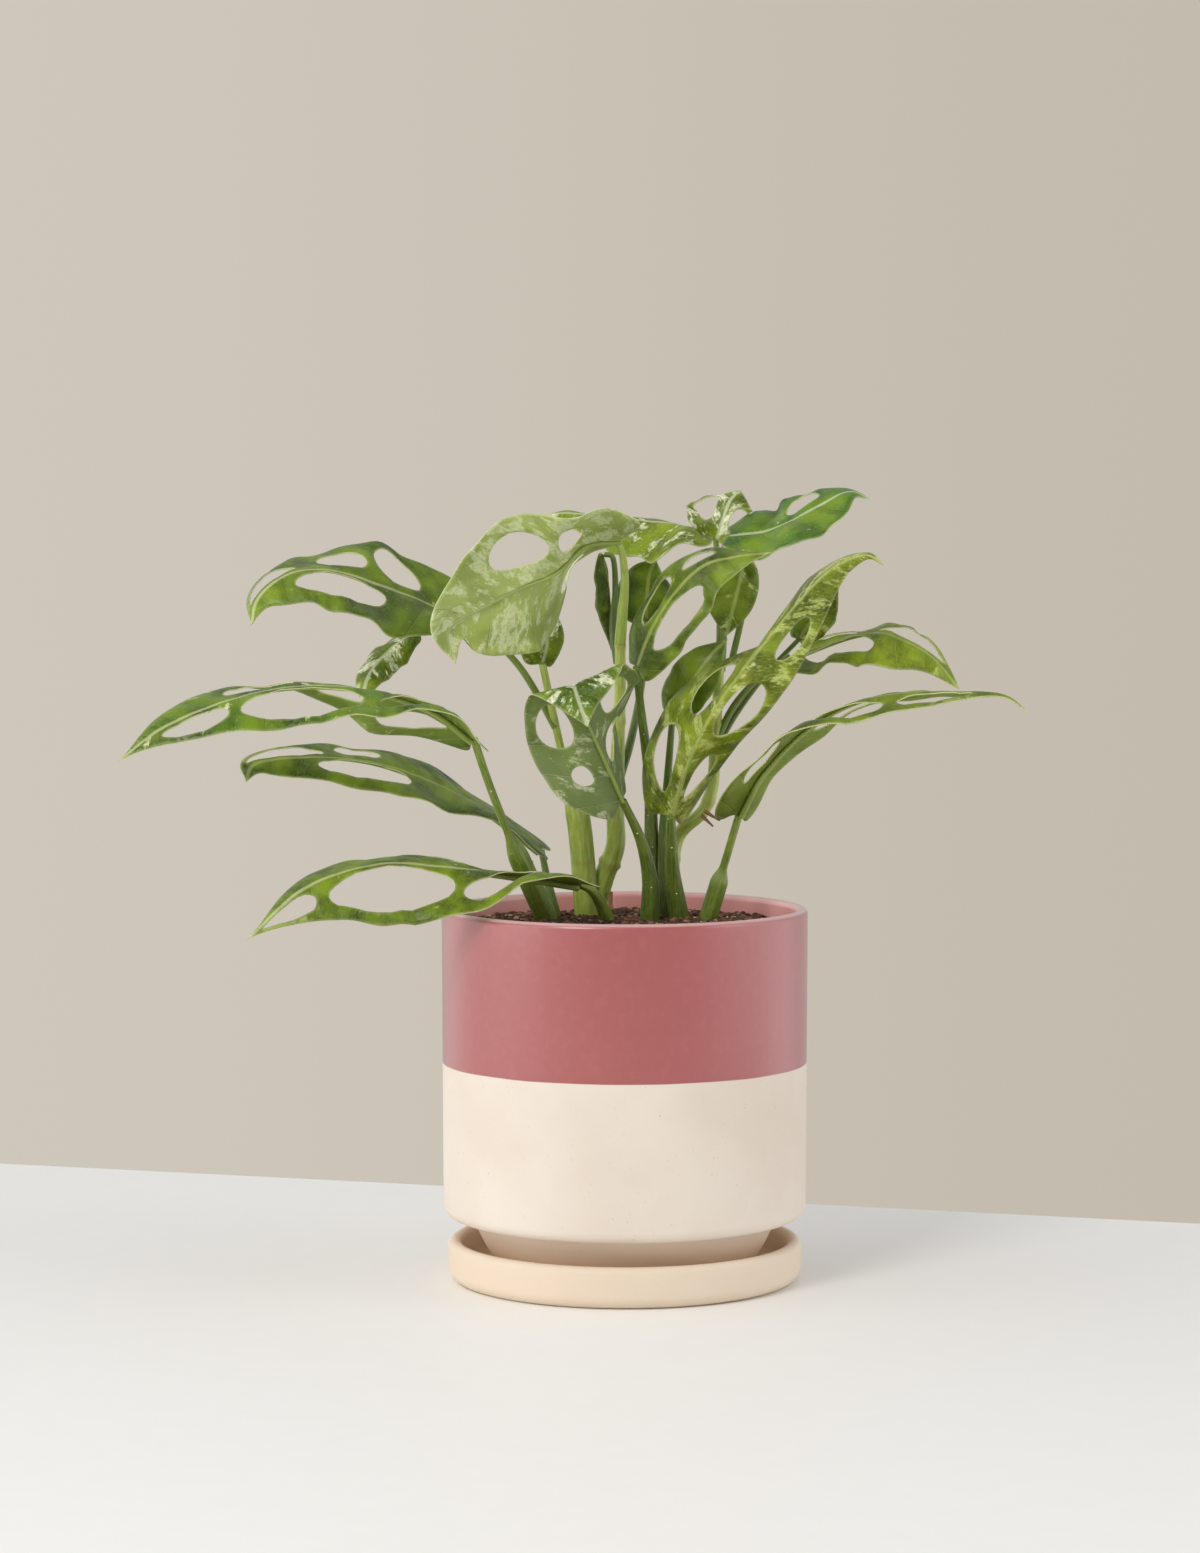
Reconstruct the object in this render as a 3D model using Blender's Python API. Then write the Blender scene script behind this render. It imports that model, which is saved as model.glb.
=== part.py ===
"""A variegated Swiss-cheese monstera in a two-tone ceramic pot that stands on its own saucer.

Metres, +Z up. The origin is the centre of the saucer's flat underside, and the pot is turned round Z.
The plant is measured from the centre of the soil's surface, so it rises and sinks with the pot.
"""
from collections import namedtuple
from math import cos, pi, radians, sin

import bmesh
import bpy
import numpy as np
from mathutils import Vector
from mathutils.geometry import delaunay_2d_cdt

MM = 0.001

# Saucer, mm
SAUCER_GAP = 8.9
SAUCER_HEIGHT = 18.0
SAUCER_WALL = 6.0
SAUCER_FLOOR = 5.0
SAUCER_CORNER = 6.0

# Pot, mm
POT_RADIUS = 80.0
POT_HEIGHT = 158.0
POT_TAPER = 0.6
POT_WALL = 5.0
POT_CORNER = 5.0
FOOT_RADIUS = 52.0
FOOT_HEIGHT = 23.0
FOOT_SWELL = 0.6
SHOULDER_INSET = 12.4
FOOT_RING = 7.0
FOOT_RECESS = 2.5
POT_FLOOR = 7.0
DRAIN_RADIUS = 6.0

# Fits, mm
SEAT_GAP = 0.3
STEM_GAP = 0.3
JOINT_GAP = 1.3

# Soil and plant, mm
SOIL_DROP = 6.0
SOIL_MOUND = 1.5
STEM_DEPTH = 10.0
BLADE_THICKNESS = 0.8
BLADE_LOBE = 0.06
BLADE_RIPPLE = 1.2

# Fineness
TURNED_STEPS = 48
CORNER_STEPS = 4
BLADE_EDGE_STEPS = 13
BLADE_RIB_STEPS = 9
HOLE_STEPS = 8
PATH_STEPS = 40
STALK_RINGS = 9

POT_SEAT = SAUCER_FLOOR + SEAT_GAP
RIM_LEVEL = POT_SEAT + POT_HEIGHT
SHOULDER_LEVEL = POT_SEAT + FOOT_HEIGHT
FOOT_FLARE = POT_RADIUS - POT_TAPER - SHOULDER_INSET - FOOT_RADIUS


def foot_radius(height):
    """Outer radius of the pot's bowl-shaped foot at a height between its seat and its shoulder."""
    return FOOT_RADIUS + FOOT_FLARE * ((height - POT_SEAT) / FOOT_HEIGHT) ** FOOT_SWELL


SAUCER_RADIUS = foot_radius(SAUCER_HEIGHT) + SAUCER_GAP + SAUCER_WALL
SOIL_LEVEL = RIM_LEVEL - SOIL_DROP


# ---------------------------------------------------------------- materials

def finish(name, colour, roughness, metallic=0.0):
    """A plain Principled BSDF; colour is linear RGB."""
    material = bpy.data.materials.new(name)
    material.use_nodes = True
    shader = material.node_tree.nodes["Principled BSDF"]
    shader.inputs["Base Color"].default_value = (*colour, 1.0)
    shader.inputs["Roughness"].default_value = roughness
    shader.inputs["Metallic"].default_value = metallic
    return material


def add_object(name, data, material):
    piece = bpy.data.objects.new(name, data)
    piece.data.materials.append(material)
    bpy.context.scene.collection.objects.link(piece)
    return piece


# ---------------------------------------------------------------- turned ceramic

def corner(centre, radius, start, end, steps=CORNER_STEPS):
    """Points of an arc in the (radius, height) plane; angles in degrees, anticlockwise."""
    angles = np.radians(np.linspace(start, end, steps + 1))
    return [(centre[0] + radius * cos(a), centre[1] + radius * sin(a)) for a in angles]


def turned(name, profile, material):
    """A solid of revolution round Z from a closed (radius, height) outline in mm."""
    mesh = bpy.data.meshes.new(name)
    work = bmesh.new()
    points = [work.verts.new((r * MM, 0.0, z * MM)) for r, z in profile]
    on_axis = profile[0][0] == 0.0
    pairs = zip(points, points[1:]) if on_axis else zip(points, points[1:] + points[:1])
    edges = [work.edges.new(pair) for pair in pairs]
    bmesh.ops.spin(
        work, geom=points + edges, cent=(0, 0, 0), axis=(0, 0, 1),
        angle=2 * pi, steps=TURNED_STEPS, use_merge=True,
    )
    bmesh.ops.remove_doubles(work, verts=work.verts[:], dist=1e-6)
    bmesh.ops.recalc_face_normals(work, faces=work.faces[:])
    work.to_mesh(mesh)
    work.free()
    mesh.shade_smooth()
    mesh.set_sharp_from_angle(angle=radians(35))
    return add_object(name, mesh, material)


def make_saucer():
    """A round dish with a thick wall, rounded outside at the foot and over the rim."""
    lip = SAUCER_WALL / 2
    rim_centre = (SAUCER_RADIUS - lip, SAUCER_HEIGHT - lip)
    inner = SAUCER_RADIUS - SAUCER_WALL
    profile = [(0.0, 0.0)]
    profile += corner((SAUCER_RADIUS - SAUCER_CORNER, SAUCER_CORNER), SAUCER_CORNER, -90, 0)
    profile += corner(rim_centre, lip, 0, 180, 6)
    profile += corner((inner - lip, SAUCER_FLOOR + lip), lip, 0, -90, 3)
    profile += [(0.0, SAUCER_FLOOR)]
    return turned("saucer", profile, finish("bisque_saucer", (0.79, 0.66, 0.50), 0.75))


def make_pot():
    """A straight-sided pot, narrowing like a bowl to its foot, with a drainage hole inside the foot ring."""
    lip = POT_WALL / 2
    inside = POT_RADIUS - POT_WALL
    foot_inside = FOOT_RADIUS - POT_WALL
    side_bottom = POT_RADIUS - POT_TAPER
    floor_level = POT_SEAT + POT_FLOOR
    shelf = SHOULDER_LEVEL + POT_WALL
    profile = [(DRAIN_RADIUS, POT_SEAT + FOOT_RECESS)]
    profile += [(FOOT_RADIUS - FOOT_RING - FOOT_RECESS, POT_SEAT + FOOT_RECESS)]
    profile += [(FOOT_RADIUS - FOOT_RING, POT_SEAT), (FOOT_RADIUS, POT_SEAT)]
    levels = np.linspace(POT_SEAT, SHOULDER_LEVEL, 6)
    profile += [(foot_radius(height), height) for height in levels[1:]]
    profile += corner((side_bottom - POT_CORNER, SHOULDER_LEVEL + POT_CORNER), POT_CORNER, -90, 0)
    profile += corner((POT_RADIUS - lip, RIM_LEVEL - lip), lip, 0, 180, 6)
    profile += [(inside, shelf + POT_CORNER)]
    profile += [(inside - POT_CORNER, shelf), (foot_inside, shelf)]
    profile += [(foot_inside, floor_level), (DRAIN_RADIUS, floor_level)]
    return turned("pot", profile, finish("two_tone_ceramic", (0.50, 0.16, 0.15), 0.3))


def make_soil(stems):
    """The potting mix: it fills the pot, swells a little in the middle and is bored for each stem."""
    inside = POT_RADIUS - POT_WALL - SEAT_GAP
    foot_inside = FOOT_RADIUS - POT_WALL - SEAT_GAP
    shelf = SHOULDER_LEVEL + POT_WALL + SEAT_GAP
    floor_level = POT_SEAT + POT_FLOOR + SEAT_GAP
    profile = [(0.0, floor_level), (foot_inside, floor_level), (foot_inside, shelf)]
    profile += [(inside - POT_CORNER, shelf), (inside, shelf + POT_CORNER)]
    profile += [(inside, SOIL_LEVEL - SOIL_MOUND), (0.8 * inside, SOIL_LEVEL), (0.0, SOIL_LEVEL)]
    soil = turned("soil", profile, finish("potting_mix", (0.055, 0.028, 0.012), 0.95))
    cutter = bpy.data.objects.new("stem_sockets", socket_mesh(stems))
    cutter.hide_render = True
    cutter.display_type = "WIRE"
    bpy.context.scene.collection.objects.link(cutter)
    bore = soil.modifiers.new("stem_sockets", "BOOLEAN")
    bore.operation = "DIFFERENCE"
    bore.object = cutter
    return soil


def socket_mesh(stems):
    """One short round peg for each stem, a gap wider than the stem and a gap deeper."""
    mesh = bpy.data.meshes.new("stem_sockets")
    work = bmesh.new()
    for x, y, radius in stems:
        made = bmesh.ops.create_cone(
            work, cap_ends=True, segments=10, radius1=radius * MM, radius2=radius * MM,
            depth=2 * (STEM_DEPTH + STEM_GAP) * MM,
        )
        bmesh.ops.translate(work, verts=made["verts"], vec=Vector((x, y, SOIL_LEVEL)) * MM)
    work.to_mesh(mesh)
    work.free()
    return mesh


# ---------------------------------------------------------------- paths

def smooth_path(points, count):
    """Evenly spaced points on the Catmull-Rom curve through the given ones."""
    points = np.asarray(points, float)
    first = 2 * points[0] - points[1]
    last = 2 * points[-1] - points[-2]
    hull = np.vstack([first, points, last])
    t = np.linspace(0, 1, PATH_STEPS, endpoint=False)[:, None]
    runs = []
    for a, b, c, d in zip(hull, hull[1:], hull[2:], hull[3:]):
        runs.append(b + 0.5 * t * (c - a + t * (2 * a - 5 * b + 4 * c - d + t * (3 * (b - c) + d - a))))
    dense = np.vstack([*runs, points[-1:]])
    travelled = np.concatenate([[0.0], np.cumsum(np.linalg.norm(np.diff(dense, axis=0), axis=1))])
    places = np.linspace(0, travelled[-1], count)
    even = [np.interp(places, travelled, dense[:, k]) for k in range(3)]
    return np.stack(even, axis=1), travelled[-1]


def unit(vectors):
    return vectors / np.linalg.norm(vectors, axis=-1, keepdims=True)


def carried_frames(path, face, twist):
    """Tangent, face and side directions carried along a path without spin, then twisted evenly."""
    tangents = unit(np.gradient(path, axis=0))
    facing = np.asarray(face, float)
    faces = []
    for tangent in tangents:
        facing = unit(facing - tangent * facing.dot(tangent))
        faces.append(facing)
    faces = np.array(faces)
    sides = np.cross(tangents, faces)
    turn = np.radians(np.linspace(0, twist, len(path)))[:, None]
    return tangents, faces * np.cos(turn) + sides * np.sin(turn), sides * np.cos(turn) - faces * np.sin(turn)


# ---------------------------------------------------------------- leaves

LEFT, RIGHT = -1, 1
DROOP_STATIONS = (0.0, 0.25, 0.5, 0.75, 1.0)

# spine: base to tip, mm from the centre of the soil's surface
# face: where the upper side looks at the base; twist: how far it has turned at the tip, degrees
# half_widths and droop are (left, right) seen from the base along the spine with the face up;
# droop holds the angle a half hangs below flat at five even stations from base to tip; curl adds to
# it towards the edge; holes are (side, start, end, inner, outer) as shares of length and half width
Leaf = namedtuple("Leaf", "name spine face twist half_widths droop curl holes")

LEAVES = [
    Leaf("low_left",
         [(-20, -10, 17), (-47, -24, 22), (-79, -38, 27), (-105, -50, 29), (-135, -62, 20), (-159, -72, -1)],
         (0, 0, 1), 0, (31, 24), ((-10, 0, 58, 60, 45), (-10, -5, -9, -5, 10)), 10,
         [(LEFT, 0.39, 0.75, 0.07, 0.84), (LEFT, 0.79, 0.95, 0.12, 0.78), (LEFT, 0.17, 0.37, 0.30, 0.84),
          (RIGHT, 0.2, 0.42, 0.25, 0.84)]),
    Leaf("mid_left",
         [(-37, 37, 28), (-61, 35, 46), (-87, 24, 60), (-111, 8, 69), (-137, -8, 72), (-159, -20, 70),
          (-162, -38, 63)],
         (0, 0, 1), 0, (22, 22), ((0, 5, 20, 22, 22), (-10, -15, -10, -5, -5)), 10,
         [(RIGHT, 0.68, 0.9, 0.12, 0.8), (RIGHT, 0.5, 0.63, 0.25, 0.8), (LEFT, 0.44, 0.72, 0.07, 0.72)]),
    Leaf("long_left",
         [(-65, -28, 81), (-82, -36, 94), (-108, -48, 103), (-137, -62, 105), (-164, -74, 100),
          (-191, -84, 89), (-210, -90, 75)],
         (0, 0, 1), 0, (30, 26), ((5, 5, 28, 28, 25), (25, 35, -5, -15, -15)), 10,
         [(LEFT, 0.36, 0.68, 0.08, 0.87), (LEFT, 0.71, 0.88, 0.15, 0.78), (RIGHT, 0.5, 0.68, 0.2, 0.78),
          (RIGHT, 0.07, 0.26, 0.25, 0.8), (RIGHT, 0.3, 0.45, 0.25, 0.75), (LEFT, 0.14, 0.32, 0.35, 0.85)]),
    Leaf("upper_left",
         [(-74, 2, 133), (-89, -6, 140), (-104, -14, 146), (-125, -24, 153), (-143, -32, 152),
          (-156, -38, 142), (-159, -42, 130)],
         (0, -0.5, 0.9), 0, (31, 31), ((5, 5, 5, 5, 5), (-25, -20, 5, 25, 25)), 10,
         [(LEFT, 0.34, 0.74, 0.08, 0.7), (RIGHT, 0.40, 0.57, 0.2, 0.72), (RIGHT, 0.16, 0.36, 0.15, 0.84),
          (RIGHT, 0.68, 0.92, 0.12, 0.82)]),
    Leaf("small_left",
         [(-93, 6, 126), (-103, -2, 118), (-111, -10, 108), (-114, -16, 96)],
         (0, -0.3, 0.95), 0, (10, 10), ((20, 20, 25, 30, 30), (10, 10, 10, 10, 10)), 10, []),
    Leaf("pale_front",
         [(-3, -6, 165), (-18, -16, 163), (-30, -26, 152), (-46, -34, 145), (-61, -40, 137),
          (-75, -44, 128), (-72, -46, 114)],
         (-0.55, 0.83, 0), 0, (33, 31), ((60, 45, 5, 8, 20), (-80, -50, -12, 0, 0)), 5,
         [(LEFT, 0.38, 0.60, 0.28, 0.78), (LEFT, 0.2, 0.33, 0.25, 0.75), (RIGHT, 0.12, 0.3, 0.3, 0.8)]),
    Leaf("hanging_centre",
         [(-9, 14, 160), (-7, 14, 149), (-6, 16, 136), (-6, 18, 118)],
         (0.9, -0.4, 0.2), 0, (7, 7), ((30, 40, 50, 50, 50), (30, 40, 50, 50, 50)), 10, []),
    Leaf("under_pale",
         [(-36, 6, 112), (-34, 2, 123), (-38, 2, 134), (-48, 6, 141)],
         (0.3, -0.9, 0.3), 0, (14, 8), ((0, 0, 5, 10, 10), (0, 0, 5, 10, 10)), 10, []),
    Leaf("top_back",
         [(40, 34, 169), (25, 38, 173), (7, 40, 175), (-11, 38, 177), (-28, 32, 178), (-35, 30, 177)],
         (0, 0, 1), 0, (26, 24), ((15, 30, 38, 35, 30), (5, 5, 5, 5, 5)), 10,
         [(LEFT, 0.55, 0.75, 0.3, 0.8), (RIGHT, 0.3, 0.55, 0.3, 0.8)]),
    Leaf("top_right",
         [(45, -2, 168), (61, -6, 170), (73, -8, 175), (86, -8, 182), (97, -6, 187), (106, -4, 184)],
         (0, -0.5, 0.87), 0, (22, 22), ((0, 0, 0, 0, 0), (0, 0, 0, 10, 10)), 5,
         [(LEFT, 0.42, 0.68, 0.2, 0.75)]),
    Leaf("crown",
         [(40, 16, 166), (43, 14, 175), (46, 16, 183), (51, 22, 188)],
         (-0.3, -0.9, 0.4), 0, (20, 14), ((0, 0, 5, 10, 10), (0, 0, 5, 10, 10)), 10,
         [(LEFT, 0.25, 0.75, 0.25, 0.85), (RIGHT, 0.25, 0.6, 0.25, 0.75)]),
    Leaf("folded_centre",
         [(5, -4, 111), (11, -14, 127), (21, -22, 143), (33, -28, 155), (47, -32, 159), (62, -36, 161)],
         (-0.3, -0.8, 0.5), 0, (16, 18), ((10, 15, 20, 40, 60), (10, 10, 10, 0, -20)), 5,
         [(LEFT, 0.22, 0.48, 0.2, 0.8), (RIGHT, 0.16, 0.6, 0.15, 0.8), (LEFT, 0.56, 0.72, 0.3, 0.75)]),
    Leaf("centre_right",
         [(52, 4, 157), (50, 1, 148), (47, 0, 136), (44, 1, 124)],
         (0, -1, 0), 0, (9, 15), ((0, 0, 5, 10, 10), (0, 0, 5, 10, 10)), 10, []),
    Leaf("big_right",
         [(20, -6, 46), (26, -14, 67), (38, -26, 93), (58, -38, 121), (83, -50, 151), (100, -56, 160),
          (108, -60, 156)],
         (-0.3, -0.9, 0.2), 0, (30, 20), ((10, 30, 75, 68, 80), (65, 45, 5, 25, 45)), 5,
         [(RIGHT, 0.27, 0.48, 0.15, 0.84), (LEFT, 0.06, 0.22, 0.25, 0.84), (LEFT, 0.28, 0.44, 0.2, 0.8),
          (RIGHT, 0.06, 0.2, 0.3, 0.8), (RIGHT, 0.56, 0.7, 0.3, 0.75), (LEFT, 0.78, 0.88, 0.3, 0.7)]),
    Leaf("front_left",
         [(-1, -6, 53), (-7, -13, 67), (-15, -22, 85), (-20, -27, 97), (-22, -34, 104), (-20, -43, 98),
          (-16, -47, 87)],
         (0, 1, 0.3), 0, (33, 28), ((-85, -80, -40, -10, 0), (60, 20, 0, 0, 0)), 5,
         [(RIGHT, 0.40, 0.64, 0.25, 0.82), (RIGHT, 0.2, 0.32, 0.2, 0.7), (LEFT, 0.16, 0.36, 0.2, 0.82),
          (LEFT, 0.44, 0.62, 0.3, 0.8)]),
    Leaf("low_right",
         [(50, 5, 46), (59, -4, 64), (76, -14, 83), (97, -24, 96), (119, -34, 101), (142, -44, 102),
          (160, -50, 101), (170, -52, 94)],
         (0, 0, 1), 0, (20, 24), ((-10, -10, -12, -5, 0), (-10, 10, 32, 38, 30)), 10,
         [(RIGHT, 0.36, 0.6, 0.2, 0.84), (RIGHT, 0.64, 0.84, 0.2, 0.8), (LEFT, 0.34, 0.58, 0.25, 0.87),
          (RIGHT, 0.12, 0.28, 0.3, 0.8)]),
    Leaf("mid_right",
         [(73, 20, 115), (97, 4, 124), (111, -6, 126), (120, -12, 123), (132, -16, 116), (144, -20, 102)],
         (0, 0, 1), 0, (20, 24), ((-15, -15, -8, -10, -20), (30, 30, 30, 30, 30)), 5,
         [(RIGHT, 0.12, 0.54, 0.12, 0.76), (LEFT, 0.48, 0.86, 0.1, 0.82), (LEFT, 0.14, 0.36, 0.3, 0.8)]),
    Leaf("behind_right",
         [(77, 30, 122), (86, 29, 135), (95, 28, 146)],
         (-0.4, -0.8, 0.4), 0, (10, 10), ((0, 0, 5, 10, 10), (0, 0, 5, 10, 10)), 5, []),
    Leaf("inner_centre",
         [(21, 10, 90), (28, 6, 102), (36, 4, 114), (45, 6, 123)],
         (-0.3, -0.9, 0.3), 0, (12, 11), ((0, 0, 5, 10, 10), (0, 0, 5, 10, 10)), 5, []),
    Leaf("inner_dark",
         [(10, 40, 130), (10, 38, 140), (11, 36, 150), (14, 36, 158)],
         (0.2, -0.95, 0.3), 0, (14, 12), ((0, 0, 5, 10, 10), (0, 0, 5, 10, 10)), 5, []),
]


def blade_width(share):
    """Half width at a share of the length, as a share of the widest half: round at the base, drawn
    out to a point at the tip."""
    return np.sin(pi * share ** 0.75) ** (0.6 + 0.5 * share ** 3)


def blade_along(share):
    """Distance along the spine as a share of the length: the lobes reach back behind the base."""
    return share - BLADE_LOBE * (share / 0.05) * np.exp(1 - share / 0.05)


def half_outline(length, half_width, side):
    """The flat edge of one half, from the sinus round to the tip and back down the midrib."""
    share = 0.5 - 0.5 * np.cos(np.linspace(0, pi, BLADE_EDGE_STEPS + 1)[1:-1])
    edge = np.stack([length * blade_along(share), side * half_width * blade_width(share)], axis=1)
    rib = [(length * s, 0.0) for s in np.linspace(1, 0, BLADE_RIB_STEPS + 1)]
    return np.vstack([edge, rib])


def hole_outline(hole, length, half_width):
    """A hole between the midrib and the edge, an egg that follows the shape of the blade."""
    side, start, end, inner, outer = hole
    turn = np.linspace(0, 2 * pi, HOLE_STEPS, endpoint=False)
    share = (start + end) / 2 + (end - start) / 2 * np.cos(turn)
    reach = (inner + outer) / 2 + (outer - inner) / 2 * np.sin(turn)
    return np.stack([length * share, side * half_width * blade_width(share) * reach], axis=1)


def flat_half(length, half_width, side, holes):
    """Triangles of one flat half with its holes open."""
    loops = [half_outline(length, half_width, side)]
    loops += [hole_outline(hole, length, half_width) for hole in holes if hole[0] == side]
    points, edges, rings = [], [], []
    for loop in loops:
        ring = list(range(len(points), len(points) + len(loop)))
        points += [Vector(p) for p in loop]
        edges += list(zip(ring, ring[1:] + ring[:1]))
        rings.append(ring)
    places, _, faces, *_ = delaunay_2d_cdt(points, edges, rings, 2, 1e-4)
    return np.array([tuple(p) for p in places]), faces


def bend_half(flat, leaf, side, path, length):
    """Lays one flat half along the leaf's path, hanging and curling by its own angles."""
    tangents, faces, sides = carried_frames(path, leaf.face, leaf.twist)
    along, reach = flat[:, 0], np.abs(flat[:, 1])
    share = np.clip(along / length, 0, 1)
    stations = np.linspace(0, 1, len(path))

    def at(values):
        return np.stack([np.interp(share, stations, values[:, k]) for k in range(3)], axis=1)

    out = reach / leaf.half_widths[side > 0]
    hang = np.interp(share, DROOP_STATIONS, leaf.droop[side > 0])
    angle = np.radians(hang + 0.5 * leaf.curl * out)
    ripple = BLADE_RIPPLE * out ** 2 * np.sin(2 * pi * 3 * share + side)
    overrun = along - share * length
    bent = at(path) + at(tangents) * overrun[:, None]
    bent += at(sides) * (side * reach * np.cos(angle))[:, None]
    return bent + at(faces) * (ripple - reach * np.sin(angle))[:, None]


def make_leaf(leaf, material):
    """Both halves bent along the spine, joined down the midrib and given their thickness."""
    path, length = smooth_path(leaf.spine, PATH_STEPS)
    work = bmesh.new()
    for side in (LEFT, RIGHT):
        flat, faces = flat_half(length, leaf.half_widths[side > 0], side, leaf.holes)
        places = (bend_half(flat, leaf, side, path, length) + (0, 0, SOIL_LEVEL)) * MM
        corners = [work.verts.new(place) for place in places]
        for face in faces:
            work.faces.new([corners[k] for k in face])
    bmesh.ops.remove_doubles(work, verts=work.verts[:], dist=1e-6)
    mesh = bpy.data.meshes.new(f"leaf_{leaf.name}")
    work.to_mesh(mesh)
    work.free()
    mesh.shade_smooth()
    piece = add_object(f"leaf_{leaf.name}", mesh, material)
    skin = piece.modifiers.new("blade", "SOLIDIFY")
    skin.thickness = BLADE_THICKNESS * MM
    skin.offset = 0.0
    return piece


# ---------------------------------------------------------------- stems

# points run up from the soil, mm from the centre of its surface; a stem whose leaf is named ends
# at that leaf's base; radii are (foot, top)
Stem = namedtuple("Stem", "name points radii leaf")

STEMS = [
    Stem("cane_left", [(-10, 44, 0), (-7, 40, 16), (-4, 36, 30), (-4, 32, 46), (-3, 22, 74),
                       (-2, 14, 101), (-2, 8, 121)], (3.0, 2.6), None),
    Stem("cane_right", [(20, 34, 0), (23, 36, 32), (35, 30, 46), (39, 26, 58), (40, 24, 74),
                        (41, 22, 96), (42, 20, 112)], (3.0, 2.4), None),
    Stem("stalk_low_left", [(-8, 10, 0), (-11, 4, 8), (-15, -4, 14)], (2.2, 1.6), "low_left"),
    Stem("stalk_mid_left", [(-31, 35, 0), (-34, 36, 13)], (2.4, 1.6), "mid_left"),
    Stem("stalk_long_left", [(-35, 20, 0), (-48, 4, 31), (-58, -12, 58)], (4.2, 1.7), "long_left"),
    Stem("stalk_under_pale", [(-17, 36, 0), (-20, 30, 38), (-24, 24, 56), (-30, 14, 83)], (3.2, 1.6),
         "under_pale"),
    Stem("stalk_upper_left", [(-35, 15, 86), (-45, 10, 110), (-60, 6, 125)], (1.6, 1.5), "upper_left"),
    Stem("stalk_small_left", [(-64, 11, 124), (-78, 10, 128)], (1.2, 1.0), "small_left"),
    Stem("stalk_pale_front", [(-1, 7, 124.5), (0, 0, 145), (-1, -4, 160)], (1.9, 1.4), "pale_front"),
    Stem("stalk_hanging_centre", [(-5, 11, 124), (-2, 14, 142), (-4, 14, 161)], (1.2, 0.9),
         "hanging_centre"),
    Stem("stalk_front_left", [(11, 16, 0), (11, 11, 17), (7, 4, 35)], (2.4, 1.7), "front_left"),
    Stem("stalk_big_right", [(24, 18, 0), (21, 8, 22)], (2.6, 1.7), "big_right"),
    Stem("stalk_folded_centre", [(13, 27, 0), (12, 26, 29), (11, 22, 60), (7, 8, 92)], (2.4, 1.5),
         "folded_centre"),
    Stem("stalk_inner_centre", [(18, 25, 0), (17, 24, 30), (19, 18, 62)], (2.2, 1.3), "inner_centre"),
    Stem("stalk_inner_dark", [(3, 30, 60), (6, 36, 90)], (1.4, 1.2), "inner_dark"),
    Stem("stalk_crown", [(42, 20, 113.5), (42, 20, 140)], (1.7, 1.3), "crown"),
    Stem("stalk_top_right", [(42, 15, 112), (42, 13, 140), (42, 6, 158)], (1.7, 1.4), "top_right"),
    Stem("stalk_top_back", [(43, 27, 108), (44, 30, 140)], (1.7, 1.4), "top_back"),
    Stem("stalk_centre_right", [(47, 18, 112), (53, 14, 140), (54, 9, 158)], (1.5, 1.2), "centre_right"),
    Stem("stalk_mid_right", [(45, 23, 84), (58, 23, 104)], (1.6, 1.4), "mid_right"),
    Stem("stalk_behind_right", [(44, 28, 78), (60, 30, 104)], (1.4, 1.2), "behind_right"),
    Stem("stalk_low_right", [(37, 20, 0), (44, 14, 24)], (3.4, 1.7), "low_right"),
    Stem("aerial_root_upper", [(36, 25.5, 46), (42, 20, 42.5)], (0.9, 0.5), None),
    Stem("aerial_root_lower", [(34.5, 26.5, 44), (39, 20, 40)], (0.9, 0.5), None),
    Stem("surface_root", [(-6, 37, 9), (-6, 33, 4), (-5, 28, 1.6)], (1.0, 1.0), None),
]


def stem_path(stem, bases):
    points = [np.array(p, float) for p in stem.points]
    if stem.leaf:
        base, heading = bases[stem.leaf]
        points.append(base - JOINT_GAP * heading)
    path, length = smooth_path(points, STALK_RINGS)
    return path, length


def make_stem(stem, bases, material):
    """A tapered round stem on a smooth path; one that grows from the soil also reaches down into it."""
    path, _ = stem_path(stem, bases)
    if stem.points[0][2] == 0:
        path = np.vstack([path[:1] - (0, 0, STEM_DEPTH), path])
    data = bpy.data.curves.new(stem.name, "CURVE")
    data.dimensions = "3D"
    data.bevel_depth = 1.0 * MM
    data.bevel_resolution = 1
    data.use_fill_caps = True
    spline = data.splines.new("POLY")
    spline.points.add(len(path) - 1)
    thickness = np.linspace(*stem.radii, len(path))
    for point, place, radius in zip(spline.points, path, thickness):
        point.co = (*((place + (0, 0, SOIL_LEVEL)) * MM), 1.0)
        point.radius = radius
    return add_object(stem.name, data, material)


# ---------------------------------------------------------------- assembly

def main():
    for piece in list(bpy.data.objects):
        bpy.data.objects.remove(piece)
    make_saucer()
    make_pot()
    rooted = [s for s in STEMS if s.points[0][2] == 0]
    make_soil([(s.points[0][0], s.points[0][1], s.radii[0] + STEM_GAP) for s in rooted])
    green = finish("leaf_green", (0.10, 0.22, 0.03), 0.45)
    pale = finish("stem_green", (0.30, 0.42, 0.08), 0.45)
    bases = {}
    for leaf in LEAVES:
        path, _ = smooth_path(leaf.spine, PATH_STEPS)
        bases[leaf.name] = (path[0], unit(path[1] - path[0]))
        make_leaf(leaf, green)
    brown = finish("root_brown", (0.30, 0.16, 0.07), 0.8)
    for stem in STEMS:
        make_stem(stem, bases, brown if "root" in stem.name else pale)


main()
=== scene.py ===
# %% [markdown]
# # A potted monstera, built in Blender
# The plant is a variegated Swiss-cheese monstera. Its leaves are thin blades with eye-shaped holes, and
# each one hangs from its own juicy stalk. The pot is turned ceramic in two tones, and it stands on a
# turned saucer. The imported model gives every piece's real place, so it is loaded first and never moved.
# Nothing on a potted plant is hinged, so every piece rides on the one fixed body.

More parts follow.
